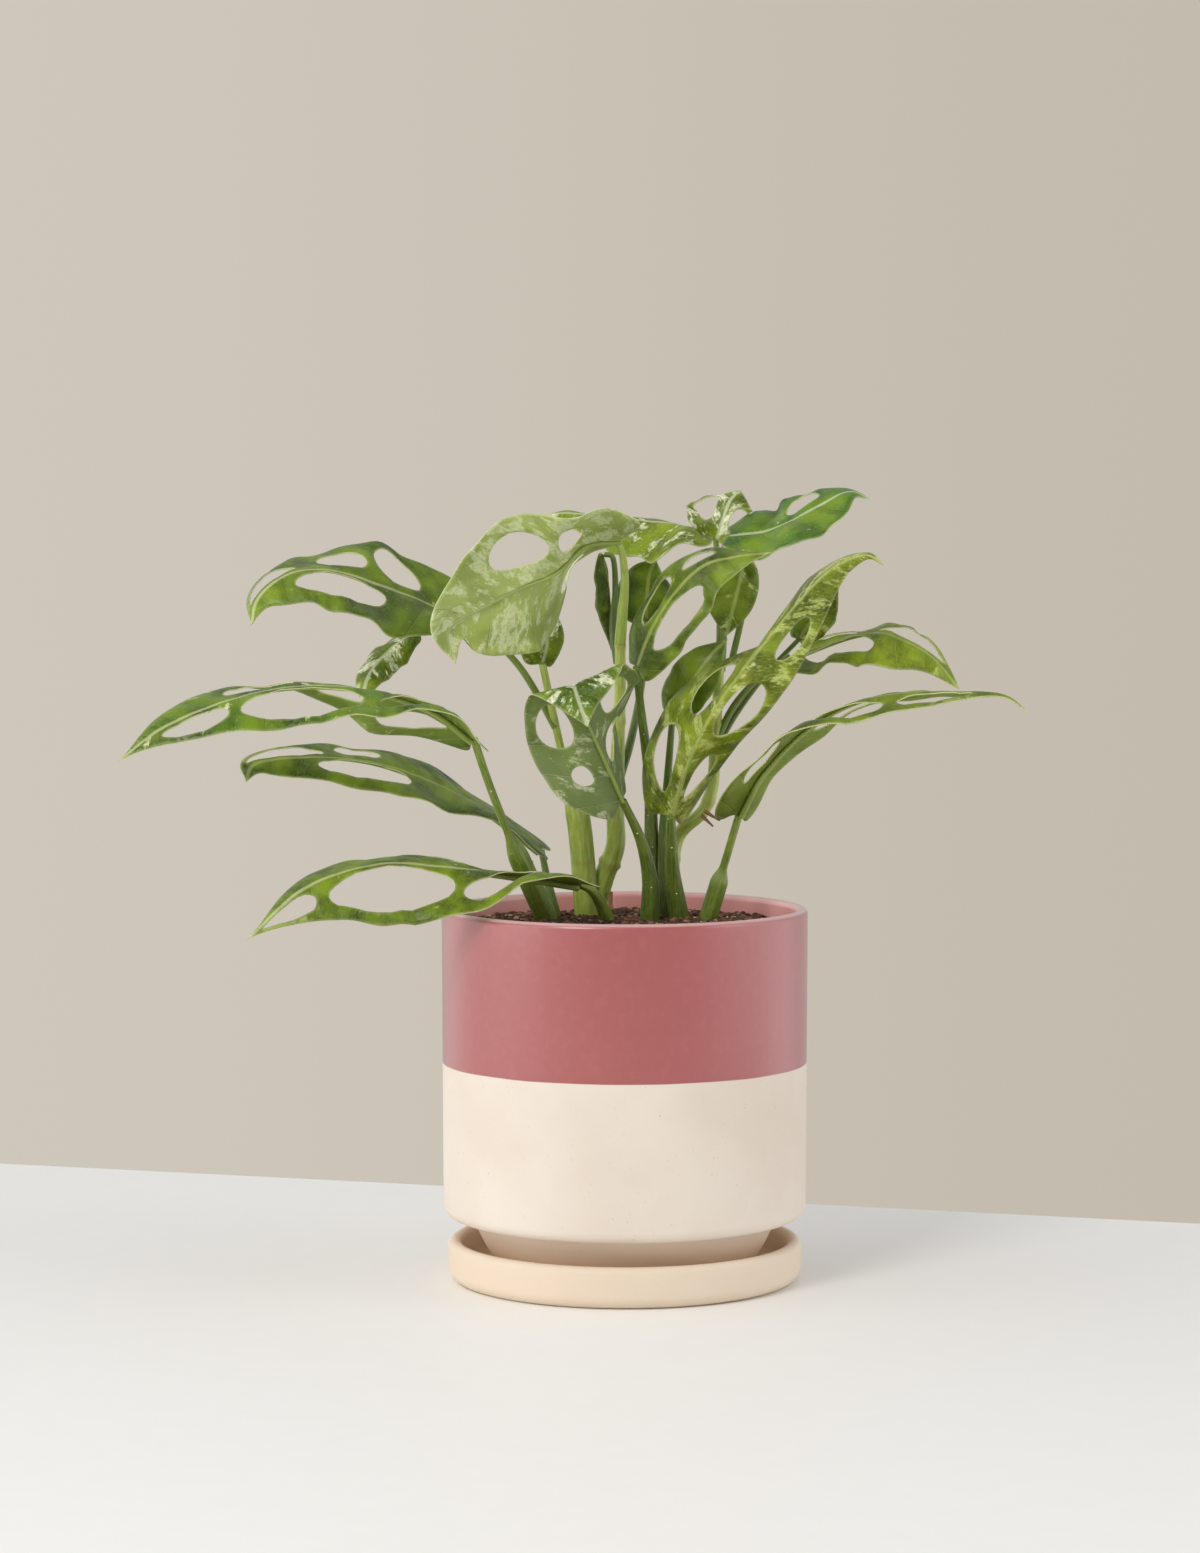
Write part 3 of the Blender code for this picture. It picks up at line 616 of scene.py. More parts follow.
def inner_points(length, half_width, side, holes):
    """A staggered grid that keeps clear of the edge, of the midrib and of every hole."""
    rows = np.arange(GRID, half_width, GRID * ROW_PITCH)
    clear = HOLE_CLEARANCE * GRID
    points = []
    for number, row in enumerate(rows):
        along = np.arange(-0.04 * length, length, GRID) + (number % 2) * GRID / 2
        share = np.clip(along / length, 0.001, 0.999)
        wide = half_width * blade_width(share)
        keep = row < wide - 0.5 * GRID
        for hole in holes:
            middle, half = (hole[1] + hole[2]) / 2, (hole[2] - hole[1]) / 2
            band, tall = (hole[3] + hole[4]) / 2, (hole[4] - hole[3]) / 2
            slant = share - HOLE_SLANT * 2 * half * (row / wide - band) / tall
            away = ((slant - middle) / (half + clear / length)) ** 2
            away = away + ((row / wide - band) / (tall + clear / wide)) ** 2
            keep = keep & (away > 1)
        points += [(x, side * row) for x in along[keep]]
    return points


def flat_half(length, half_width, side, holes):
    """Points and triangles of one flat half, and its open edges as loops of points."""
    mine = [hole for hole in holes if hole[0] == side]
    edge, rib = half_outline(length, half_width, side)
    loops = [np.vstack([edge, rib])]
    loops += [hole_outline(hole, length, half_width) for hole in mine]
    points, edges, rings = [], [], []
    for loop in loops:
        ring = list(range(len(points), len(points) + len(loop)))
        points += [Vector(p) for p in loop]
        edges += list(zip(ring, ring[1:] + ring[:1]))
        rings.append(ring)
    points += [Vector(p) for p in inner_points(length, half_width, side, mine)]
    places, _, faces, *_ = delaunay_2d_cdt(points, edges, rings, 2, 1e-4)
    return np.array([tuple(p) for p in places]), faces, [edge] + loops[1:]


print("half a leaf of 100 x 25 mm:", len(flat_half(100, 25, LEFT, [])[1]), "triangles")

# %% [markdown]
# The flat half is then laid along the midrib's path. It hangs by its droop, curls a little more towards
# the edge, and its margin waves. The tissue between two side veins is slightly puffed up, and the
# midrib lies in a shallow channel, which is what catches the light on a real leaf. All this is true
# shape, because a bump in the finish would leave the blade's outline flat.

# %% Bend a half into place
THICKNESS = 0.5
VEIN_SPACING = 14.0
VEIN_SWEEP = 0.55
PUFF = 0.7
CHANNEL = 0.5
WAVE = 1.9
WAVE_HALF_WIDTH = 26
BUCKLE = 0.75
RIB_GROOVE = 1.6


def vein_count(along, out_mm):
    """Counts the side veins up to a point: a whole number on each one. They sweep towards the tip."""
    return (along - VEIN_SWEEP * out_mm) / VEIN_SPACING


def bend_half(flat, leaf, side, path, length):
    tangents, faces, sides = carried_frames(path, leaf.face, leaf.twist)
    along, out_mm = flat[:, 0], np.abs(flat[:, 1])
    share = np.clip(along / length, 0, 1)
    stations = np.linspace(0, 1, len(path))

    def at(values):
        return np.stack([np.interp(share, stations, values[:, k]) for k in range(3)], axis=1)

    half_width = leaf.half_widths[side > 0]
    out = out_mm / half_width
    hang = np.interp(share, DROOP_STATIONS, leaf.droop[side > 0])
    angle = np.radians(hang + 0.5 * leaf.curl * out)
    wave = WAVE * half_width / WAVE_HALF_WIDTH
    ripple = wave * out ** 2 * np.sin(2 * pi * 3 * share + side)
    ripple += 0.3 * wave * out ** 3 * np.sin(2 * pi * 6.3 * share + 2 * side)
    ripple += BUCKLE * wave * np.sin(pi * out) * np.sin(2 * pi * 2.2 * share + 1.5 * side + 0.8)
    vein = vein_count(along, out_mm)
    to_edge = half_width * blade_width(np.clip(share, .01, .99)) - out_mm
    soft = np.clip(out_mm / 3, 0, 1) * np.clip(to_edge / 4, 0, 1)
    puff = PUFF * np.abs(np.sin(pi * vein)) ** 0.7 * soft
    channel = -CHANNEL * np.exp(-(out_mm / RIB_GROOVE) ** 2) * (1 - share)
    overrun = along - share * length
    bent = at(path) + at(tangents) * overrun[:, None]
    bent += at(sides) * (side * out_mm * np.cos(angle))[:, None]
    bent += at(faces) * (ripple + puff + channel - out_mm * np.sin(angle))[:, None]
    return bent, vein


print("a blade's margin waves by up to", WAVE, "mm")

# %% [markdown]
# Both halves are joined down the midrib, and the sheet is given its two skins and a rim. Each point
# carries what the finish needs to know: which skin it is on, how far it is from the midrib and from the
# nearest edge, and where it lies between two side veins.

# %% Join the halves into a blade with two skins
LONGEST_EDGE = 12


def edge_distance(flat, loops):
    """Distance in mm from each flat point to the nearest outline or hole."""
    dense = []
    for loop in loops:
        for a, b in zip(loop, np.roll(loop, -1, 0)):
            if np.linalg.norm(a - b) < LONGEST_EDGE:
                dense.append(np.linspace(a, b, 4, endpoint=False))
    rim = np.vstack(dense)
    return np.array([np.sqrt(((rim - point) ** 2).sum(axis=1).min()) for point in flat])


def sheet_normals(points, faces):
    triangles = points[faces]
    first, second, third = triangles[:, 0], triangles[:, 1], triangles[:, 2]
    spread = np.cross(second - first, third - first)
    normals = np.zeros_like(points)
    for corner in range(3):
        np.add.at(normals, faces[:, corner], spread)
    return unit(normals + 1e-12)


def join_halves(leaf):
    """One sheet in mm: points, triangles that face up, and what each point knows."""
    path, length = smooth_path(leaf.spine, RIB_STATIONS)
    points, faces, facts, known = [], [], [], {}
    for side in (LEFT, RIGHT):
        flat, flat_faces, loops = flat_half(length, leaf.half_widths[side > 0], side, leaf.holes)
        bent, vein = bend_half(flat, leaf, side, path, length)
        edge = edge_distance(flat, loops)
        used = sorted({k for face in flat_faces for k in face})
        index = {}
        for k in used:
            key = (round(flat[k, 0], 3), round(flat[k, 1], 3))
            if key not in known:
                known[key] = len(points)
                points.append(bent[k])
                facts.append((flat[k, 0], flat[k, 1], edge[k], vein[k]))
            index[k] = known[key]
        for face in flat_faces:
            ring = [index[k] for k in face]
            for a, b in zip(ring[1:], ring[2:]):
                faces.append((ring[0], b, a))
    return np.array(points), np.array(faces), np.array(facts)


def blade_mesh(leaf):
    points, faces, facts = join_halves(leaf)
    normals = sheet_normals(points, faces)
    count = len(points)
    skins = np.vstack([points + normals * THICKNESS / 2, points - normals * THICKNESS / 2])
    skins = (skins + (0, 0, SOIL_LEVEL)) * MM
    sides = dict.fromkeys((a, b) for face in faces for a, b in zip(face, np.roll(face, -1)))
    open_sides = [pair for pair in sides if (pair[1], pair[0]) not in sides]
    under = faces[:, ::-1] + count
    rim = [(b, a, a + count, b + count) for a, b in open_sides]
    mesh = bpy.data.meshes.new(f"blade_{leaf.name}")
    mesh.from_pydata(skins.tolist(), [], faces.tolist() + under.tolist() + rim)
    facts = np.vstack([facts, facts])
    upper = np.concatenate([np.ones(count), np.zeros(count)])
    for name, values in zip(("run", "across", "edge", "vein", "upper"), [*facts.T, upper]):
        attribute = mesh.attributes.new(name, "FLOAT", "POINT")
        attribute.data.foreach_set("value", values.astype(np.float32))
    mesh.shade_smooth()
    return mesh


print("every blade is", THICKNESS, "mm thick")

# %% [markdown]
# ## The leaf's finish
# The upper skin is waxy green with cream patches that follow the side veins, and finer flecks inside
# them. The underside is matt, paler and greyer, and the patches only glow through it. The midrib and
# the side veins are paler lines, and the very edge is a thin cream line. A painted image would need an
# unwrapped blade. Noise that is read along the side veins needs none, and its streaks run as the real
# ones do.

# %% The leaf's finish
Look = namedtuple("Look", "dark light cream share under gloss seed vivid")
LeafWires = namedtuple(
    "LeafWires", "upper_side edge rim patches flecks speck cloud broad grain line vein_line rib_line")

VIVID = colour(128, 152, 18)
CREAM = colour(218, 220, 166)
WHITE_CREAM = colour(230, 232, 196)
PALE_GREEN = colour(184, 194, 108)
LEAF_RELIEF_DEPTH = 0.0005


def leaf_wires(finish, look):
    """The noises and lines that a leaf's colours are made of. Each is read along the side veins."""
    run, across = finish.attribute("run"), finish.attribute("across")
    vein, upper = finish.attribute("vein"), finish.attribute("upper")
    out = across.size()
    line = (vein.fraction() - 0.5).size()
    half = across.rise(-0.5, 0.5) * 9 + look.seed
    streak = finish.vector(vein * 1.5 + look.seed, out * 0.07, half)
    broad_place = finish.vector(run * 0.045 + look.seed, across * 0.07, look.seed)
    return LeafWires(
        upper_side=upper.rise(0.45, 0.55),
        edge=finish.attribute("edge"),
        rim=(upper * (1 - upper) * 4).rise(0.1, 0.5),
        patches=finish.noise(streak, 1.3, 5, 0.68),
        flecks=finish.noise(finish.vector(vein * 3.0, out * 0.2, look.seed), 3.2, 4, 0.7),
        speck=finish.noise(finish.vector(vein * 9.0, out * 0.9, look.seed), 3.0, 3, 0.7),
        cloud=finish.noise(finish.place(), 48, 4, 0.6),
        broad=finish.noise(broad_place, 1.0, 2, 0.5),
        grain=finish.noise(finish.place(), 900, 2),
        line=line,
        vein_line=line.rise(0.465, 0.492) * out.rise(0.5, 2.5),
        rib_line=1 - out.rise(0.35, 1.3),
    )


def cream_cover(look, wires):
    """Where the leaf is cream: broken patches, and flecks beside them."""
    threshold = (1 - look.share) * 0.62 + 0.12
    patches = wires.patches.rise(threshold, threshold + 0.08)
    patches = patches * (0.35 + 0.65 * wires.flecks.rise(0.34, 0.56))
    threshold = 0.66 - look.share * 0.15
    flecks = wires.flecks.rise(threshold, threshold + 0.08)
    return patches.most(flecks * min(0.9, 0.25 + look.share))


def upper_colour(finish, look, wires, cream):
    bright = finish.mix(wires.broad.rise(0.35, 0.6), look.light, look.vivid)
    green = finish.mix(wires.cloud.rise(0.34, 0.62), look.dark, bright)
    # Painted shade: the green is darker in the grooves beside the side veins, where the blade sinks
    # between puffed tissue.
    shade = (1 - wires.vein_line) * wires.line.rise(0.1, 0.45)
    green = finish.mix(shade * 0.25, green, look.dark)
    green = finish.mix(wires.flecks.rise(0.3, 0.62) * 0.4, green, look.light)
    green = finish.mix(wires.speck.rise(0.5, 0.7) * 0.3, green, look.dark)
    face = finish.mix(cream, green, look.cream)
    face = finish.mix(wires.vein_line * 0.35, face, look.light)
    return finish.mix(wires.rib_line * 0.5, face, look.cream)


def under_colour(finish, look, wires, cream):
    back = finish.mix(wires.cloud.rise(0.3, 0.7) * 0.5, look.under, look.light)
    back = finish.mix((1 - wires.broad.rise(0.32, 0.55)) * 0.3, back, look.dark)
    back = finish.mix(cream * 0.5, back, look.cream)
    back = finish.mix(wires.vein_line * 0.12, back, look.cream)
    return finish.mix(wires.rib_line * 0.3, back, look.cream)


def leaf_finish(name, look):
    finish = Finish(f"leaf_skin_{name}", Specular_IOR_Level=0.27, Coat_Roughness=0.25,
                    Subsurface_Weight=0.12, Subsurface_Scale=0.002)
    finish.shader.inputs["Subsurface Radius"].default_value = (0.5, 0.9, 0.15)
    wires = leaf_wires(finish, look)
    cream = cream_cover(look, wires)
    face = upper_colour(finish, look, wires, cream)
    back = under_colour(finish, look, wires, cream)
    skin = finish.mix(wires.upper_side, back, face)
    skin = finish.mix((1 - wires.edge.rise(0.0, 1.2)) * 0.25, skin, CREAM)
    skin = finish.mix(wires.rim * 0.7, skin, CREAM)
    gloss = wires.upper_side * look.gloss
    finish.feed(finish.shader.inputs["Coat Weight"], gloss * 0.35)
    rough = 0.6 - gloss * 0.3 + wires.grain * 0.08
    quilting = wires.line.rise(0.15, 0.5) * 1.6 + wires.vein_line * 0.9 + wires.rib_line * 0.8
    relief = wires.grain * 0.2 + wires.cloud * 1.2 + wires.flecks * 0.4 - quilting
    return finish.wear(skin, rough, relief, LEAF_RELIEF_DEPTH, 0.75)


print("a leaf's finish reads", len(LeafWires._fields), "wires")

# %% [markdown]
# Each leaf has its own greens and its own share of cream, as leaves of one plant do with age and light.
# So the same board is built once for each leaf with its own row of numbers: the dark and the light
# green, the cream, its share, the underside, the gloss and a seed for the noise. The very dark greens of
# the inner_dark leaf, deep inside the plant, are painted shade.

# %% Each leaf's own look
LOOK_ROWS = [
    ("low_left", (42, 60, 9), (123, 145, 24), CREAM, 0.16, (131, 150, 63), 0.5, 3.1),
    ("mid_left", (40, 60, 7), (117, 139, 24), PALE_GREEN, 0.10, (125, 145, 60), 0.5, 7.7),
    ("long_left", (37, 57, 8), (100, 133, 15), CREAM, 0.22, (130, 149, 60), 0.6, 1.4),
    ("upper_left", (40, 60, 7), (106, 130, 18), CREAM, 0.14, (112, 134, 48), 0.6, 5.2),
    ("small_left", (48, 65, 8), (137, 153, 28), WHITE_CREAM, 0.36, (137, 154, 65), 0.6, 8.3),
    # The pale_front leaf's pale greens are partly its own cream colour and partly a painted sheen.
    ("pale_front", (71, 88, 19), (150, 168, 62), WHITE_CREAM, 0.42, (163, 176, 102), 0.5, 2.2),
    ("hanging_centre", (32, 47, 8), (100, 120, 20), PALE_GREEN, 0.2, (108, 127, 50), 0.4, 4.5),
    ("under_pale", (52, 67, 10), (141, 157, 31), WHITE_CREAM, 0.36, (135, 152, 62), 0.4, 6.1),
    ("top_back", (61, 79, 11), (150, 166, 28), WHITE_CREAM, 0.28, (138, 154, 60), 0.6, 9.4),
    ("top_right", (34, 65, 12), (92, 136, 14), WHITE_CREAM, 0.16, (112, 132, 58), 0.7, 2.9),
    ("crown", (52, 68, 4), (139, 155, 23), WHITE_CREAM, 0.34, (125, 145, 48), 0.6, 0.7),
    ("folded_centre", (41, 56, 8), (104, 126, 29), PALE_GREEN, 0.20, (73, 91, 38), 0.5, 5.9),
    ("centre_right", (49, 64, 4), (132, 149, 23), PALE_GREEN, 0.34, (114, 133, 43), 0.5, 3.6),
    ("big_right", (50, 65, 9), (143, 155, 29), PALE_GREEN, 0.38, (120, 137, 60), 0.6, 4.1),
    ("front_left", (44, 71, 12), (120, 146, 40), WHITE_CREAM, 0.32, (118, 131, 82), 0.6, 1.9),
    ("low_right", (49, 64, 7), (127, 143, 23), PALE_GREEN, 0.20, (122, 139, 60), 0.5, 6.6),
    ("mid_right", (58, 71, 8), (158, 174, 30), PALE_GREEN, 0.18, (150, 165, 66), 0.5, 7.3),
    ("behind_right", (54, 70, 9), (143, 155, 28), PALE_GREEN, 0.32, (127, 145, 56), 0.5, 8.8),
    ("inner_centre", (40, 56, 8), (114, 133, 20), PALE_GREEN, 0.12, (106, 125, 43), 0.5, 2.5),
    # Painted shade: the inner_dark leaf sits deep in the plant, and its very dark greens stand in for the
    # shade there.
    ("inner_dark", (26, 41, 8), (77, 100, 18), PALE_GREEN, 0.08, (90, 109, 46), 0.4, 9.9),
]
LOOKS = {}
for name, dark, light, cream, share, under, gloss, seed in LOOK_ROWS:
    LOOKS[name] = Look(colour(*dark), colour(*light), cream, share, colour(*under), gloss, seed, VIVID)
print(len(LOOKS), "looks")

# %% [markdown]
# Now every leaf is made from its row of shape and its row of look. Each stands in for one packed leaf,
# which hides that plain solid in the render.

# %% Make every leaf
leaf_faces = 0
for leaf in LEAVES:
    finish = leaf_finish(leaf.name, LOOKS[leaf.name])
    blade = add_piece(f"blade_{leaf.name}", blade_mesh(leaf), finish)
    leaf_faces += len(blade.data.polygons)
    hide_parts(f"leaf_{leaf.name}")
    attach(blade, "root")
print("leaf faces:", leaf_faces)

# %% [markdown]
# ## The stems
# A stalk is a fleshy tube: stout at the foot, where it still sheathes its neighbour, slim above,
# lightly fluted along its length and swollen in a ring wherever a leaf once grew. That is one rule for
# every stem, so one Geometry Nodes tree makes them all. It takes a path and a few sizes, works out the
# radius along the way, fills the path out to a tube, and notes for the finish how far up and how far
# round each point is.

# %% The tree that grows a stem along a path
class Growth(Board):
    """A Geometry Nodes board whose inputs are remembered by name."""

    def __init__(self, name):
        super().__init__(bpy.data.node_groups.new(name, "GeometryNodeTree"))
        self.identifiers = {}
        self.tree.interface.new_socket("Geometry", in_out="OUTPUT", socket_type="NodeSocketGeometry")
        self.tree.interface.new_socket("Geometry", in_out="INPUT", socket_type="NodeSocketGeometry")
        self.entry = self.tree.nodes.new("NodeGroupInput")
        self.leave = self.tree.nodes.new("NodeGroupOutput")

    def start(self):
        return Wire(self, self.entry.outputs["Geometry"])

    def chance(self, low, high, seed):
        """A random number for each point or instance."""
        values = {2: low, 3: high, 8: seed}
        return self.node("FunctionNodeRandomValue", {"data_type": "FLOAT"}, values, output=1)

    def ask(self, name, kind="Float"):
        """Adds a named input and returns its wire."""
        made = self.tree.interface.new_socket(name, in_out="INPUT", socket_type=f"NodeSocket{kind}")
        self.identifiers[name] = made.identifier
        return Wire(self, self.entry.outputs[name])

    def keep(self, geometry, name, value, kind="FLOAT"):
        settings = {"data_type": kind, "domain": "POINT"}
        values = {"Geometry": geometry, "Name": name}
        made = self.node("GeometryNodeStoreNamedAttribute", settings, values)
        socket = next(s for s in made.socket.node.inputs if s.name == "Value" and s.enabled)
        self.feed(socket, value)
        return made

    def end(self, geometry, skin):
        real = self.node("GeometryNodeRealizeInstances", values={"Geometry": geometry})
        values = {"Geometry": real, "Shade Smooth": True}
        smooth = self.node("GeometryNodeSetShadeSmooth", values=values)
        values = {"Geometry": smooth, "Material": skin}
        coated = self.node("GeometryNodeSetMaterial", values=values)
        self.feed(self.leave.inputs["Geometry"], coated)

    def run(self, holder, name, **values):
        """Runs the tree on an object, turns the result into a plain mesh and removes the object."""
        modifier = holder.modifiers.new(name, "NODES")
        modifier.node_group = self.tree
        for key, value in values.items():
            modifier[self.identifiers[key.replace("_", " ")]] = value
        bpy.context.view_layer.update()
        ready = holder.evaluated_get(bpy.context.evaluated_depsgraph_get())
        mesh = bpy.data.meshes.new_from_object(ready)
        bpy.data.objects.remove(holder)
        return mesh


def stem_growth():
    grow = Growth("Stem along a path")
    foot, top = grow.ask("Foot"), grow.ask("Top")
    sheath, softness = grow.ask("Sheath"), grow.ask("Softness")
    ring, spacing = grow.ask("Ring"), grow.ask("Spacing")
    flutes, sides = grow.ask("Flutes"), grow.ask("Sides", "Int")
    skin = grow.ask("Skin", "Material")
    share = grow.node("GeometryNodeSplineParameter")
    travelled = grow.node("GeometryNodeSplineParameter", output="Length")
    slim = share.rise(sheath - softness, sheath + softness)
    knuckle = ((travelled / spacing) * (2 * pi)).cosine().most(0) ** 40
    radius = (foot + (top - foot) * slim) * (1 - share * 0.12) * (1 + knuckle * ring)
    path = grow.keep(grow.start(), "up", travelled * 1000)
    path = grow.keep(path, "knuckle", knuckle)
    around = grow.node("GeometryNodeCurvePrimitiveCircle", values={"Resolution": sides, "Radius": 1.0})
    place = grow.node("GeometryNodeInputPosition")
    x = grow.node("ShaderNodeSeparateXYZ", values={0: place}, output="X")
    y = grow.node("ShaderNodeSeparateXYZ", values={0: place}, output="Y")
    turn = grow.node("ShaderNodeMath", {"operation": "ARCTAN2"}, {0: y, 1: x})
    fluted = grow.node("ShaderNodeVectorMath", {"operation": "SCALE"},
                       {0: place, "Scale": 1 + (turn * 5).cosine() * flutes})
    around = grow.keep(around, "ring", place, "FLOAT_VECTOR")
    around = grow.node("GeometryNodeSetPosition", values={"Geometry": around, "Position": fluted})
    tube = grow.node("GeometryNodeCurveToMesh",
                     values={"Curve": path, "Profile Curve": around, "Scale": radius, "Fill Caps": True})
    grow.end(tube, skin)
    return grow


STEM_GROWTH = stem_growth()
print("stem tree:", len(STEM_GROWTH.tree.nodes), "nodes")

# %% [markdown]
# A stem's skin is green with long fine paler stripes, greener low down, and tan on the rings of the
# canes. The stripes are noise read on the ring position and only slowly along the stem, so they never
# show a seam. The canes are the palest, and the stalks that stand in the shade get a darker copy of the
# stalk skin, which is painted shade.

# %% The stem's finish
def stem_finish(name, pale, green, brown_rings, roughness=0.42):
    finish = Finish(name, Coat_Weight=0.25, Coat_Roughness=0.3, Subsurface_Weight=0.1,
                    Subsurface_Scale=0.002)
    finish.shader.inputs["Subsurface Radius"].default_value = (0.6, 0.9, 0.2)
    place = finish.place()
    up, knuckle = finish.attribute("up"), finish.attribute("knuckle")
    ring = finish.node("ShaderNodeAttribute", {"attribute_name": "ring"}, output="Vector")
    slow = finish.vector(0.0, 0.0, up * 0.035)
    lanes = finish.node("ShaderNodeVectorMath", {"operation": "ADD"}, {0: ring, 1: slow})
    stripes = finish.noise(lanes, 3.2, 4, 0.65)
    fine = finish.noise(finish.stretch(lanes, (5.0, 5.0, 2.5)), 3.0, 2)
    patches = finish.noise(place, 45, 3)
    skin = finish.mix(stripes.rise(0.22, 0.74), green, pale)
    skin = finish.mix((1 - up.rise(5, 75)) * 0.45, skin, green)
    skin = finish.mix(patches.rise(0.55, 0.75) * 0.4, skin, pale)
    skin = finish.mix(fine.rise(0.5, 0.7) * 0.14, skin, colour(196, 206, 134))
    skin = finish.mix(knuckle * brown_rings, skin, colour(150, 126, 74))
    return finish.wear(skin, roughness + 0.1 * fine, stripes + fine * 0.5, 0.0004, 0.6)


CANE_SKIN = stem_finish("cane_skin", colour(204, 214, 116), colour(140, 164, 50), 0.35)
STALK_SKIN = stem_finish("stalk_skin", colour(156, 174, 72), colour(76, 104, 18), 0.0)
# Painted shade: a darker copy of the stalk skin, for the stalks that stand in the shade.
SHADED_STALK_SKIN = stem_finish("dark_stalk_skin", colour(130, 150, 52), colour(54, 76, 10), 0.0)
RIB_SKIN = stem_finish("midrib_skin", colour(168, 182, 92), colour(128, 148, 54), 0.0)
ROOT_SKIN = stem_finish("root_skin", colour(176, 134, 88), colour(118, 78, 44), 0.0, 0.8)
print("stem skins made")

# %% [markdown]
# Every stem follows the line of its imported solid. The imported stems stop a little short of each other
# and of their leaves, to stay separate solids; a living one does not. So a stem that grows from the
# soil also reaches down into it, a branch starts inside its cane, and a stalk that carries a leaf runs
# on to the leaf's base, where the midrib takes over.

# %% The stems' paths
Stem = namedtuple("Stem", "name points radii leaf")

STEMS = [
    Stem("cane_left", [(-14, 42, 0), (-9, 39, 16), (-4, 36, 30), (-4, 32, 46), (-3, 22, 74),
                       (-2, 14, 101), (-2, 8, 122)], (5.0, 2.6), None),
    Stem("cane_right", [(20, 34, 0), (23, 36, 32), (35, 30, 46), (39, 26, 58), (40, 24, 74),
                        (41, 22, 96), (42, 20, 113)], (3.6, 2.5), None),
    Stem("stalk_low_left", [(-8, 10, 0), (-11, 4, 8), (-15, -4, 14)], (3.6, 1.9), "low_left"),
    Stem("stalk_mid_left", [(-31, 35, 0), (-34, 36, 13)], (2.8, 1.6), "mid_left"),
    Stem("stalk_long_left", [(-35, 20, 0), (-48, 4, 31), (-58, -12, 58)], (4.9, 1.9), "long_left"),
    Stem("stalk_under_pale", [(-17, 36, 0), (-20, 30, 38), (-24, 24, 56), (-30, 14, 83)], (5.6, 1.9),
         "under_pale"),
    Stem("stalk_upper_left", [(-30.5, 13, 84), (-38, 12, 98), (-47, 9, 112), (-60, 6, 125)],
         (1.6, 1.5), "upper_left"),
    Stem("stalk_small_left", [(-64, 11, 124), (-78, 10, 128)], (1.2, 1.0), "small_left"),
    Stem("stalk_pale_front", [(-2, 8, 121), (-1, 3, 134), (0, -1, 148), (-1, -5, 160)],
         (2.5, 1.7), "pale_front"),
    Stem("stalk_hanging_centre", [(-3, 12, 112), (-5, 14, 128), (-4, 15, 144), (-5, 14, 158)], (1.9, 1.3),
         "hanging_centre"),
    Stem("stalk_front_left", [(11, 16, 0), (11, 11, 17), (7, 4, 35)], (4.6, 2.0), "front_left"),
    Stem("stalk_big_right", [(24, 18, 0), (21, 8, 22)], (4.6, 2.2), "big_right"),
    Stem("stalk_folded_centre", [(13, 27, 0), (12, 26, 29), (11, 22, 60), (7, 8, 92)], (3.8, 1.9),
         "folded_centre"),
    Stem("stalk_inner_centre", [(18, 25, 0), (17, 24, 30), (19, 18, 62)], (3.0, 1.6), "inner_centre"),
    Stem("stalk_inner_dark", [(-3, 27, 58), (3, 31, 78), (8, 38, 104)], (2.0, 1.5), "inner_dark"),
    Stem("stalk_crown", [(42, 20, 113.5), (42, 20, 140)], (1.7, 1.3), "crown"),
    Stem("stalk_top_right", [(42, 15, 112), (42, 13, 140), (42, 6, 158)], (1.7, 1.4), "top_right"),
    Stem("stalk_top_back", [(43, 27, 108), (44, 30, 140)], (1.7, 1.4), "top_back"),
    Stem("stalk_centre_right", [(47, 18, 112), (53, 14, 140), (54, 9, 158)], (1.5, 1.2), "centre_right"),
    Stem("stalk_mid_right", [(41.5, 23, 80), (49, 23, 94), (60, 23, 106)], (1.6, 1.4), "mid_right"),
    Stem("stalk_behind_right", [(41, 25, 75), (50, 29, 90), (62, 30, 106)], (1.4, 1.2), "behind_right"),
    Stem("stalk_low_right", [(37, 20, 0), (44, 14, 24)], (4.2, 1.9), "low_right"),
    Stem("aerial_root_upper", [(36, 25.5, 46), (42, 20, 42.5)], (0.9, 0.5), None),
    Stem("aerial_root_lower", [(34.5, 26.5, 44), (39, 20, 40)], (0.9, 0.5), None),
    Stem("surface_root", [(-6, 37, 9), (-6, 33, 4), (-5, 28, 1.6)], (1.0, 1.0), None),
]
CANES = ("cane_left", "cane_right", "stalk_under_pale", "stalk_pale_front")
# Stalks that stand in the shade take the darker skin, a painted shade.
SHADED_STALKS = ("stalk_front_left", "stalk_big_right", "stalk_inner_centre", "stalk_folded_centre",
               "stalk_inner_dark", "stalk_hanging_centre", "stalk_behind_right")
SHEATHED = {"stalk_long_left": 0.46, "stalk_under_pale": 0.5, "stalk_low_right": 0.5}
STEM_DEPTH = 10.0


def path_curve(name, path):
    """A poly curve object through points in mm above the soil's centre."""
    data = bpy.data.curves.new(name, "CURVE")
    data.dimensions = "3D"
    spline = data.splines.new("POLY")
    spline.points.add(len(path) - 1)
    for point, place in zip(spline.points, path):
        point.co = (*((place + (0, 0, SOIL_LEVEL)) * MM), 1.0)
    holder = bpy.data.objects.new(name, data)
    bpy.context.scene.collection.objects.link(holder)
    return holder


def stem_skin(name):
    if name in CANES:
        return CANE_SKIN
    if "root" in name:
        return ROOT_SKIN
    return SHADED_STALK_SKIN if name in SHADED_STALKS else STALK_SKIN


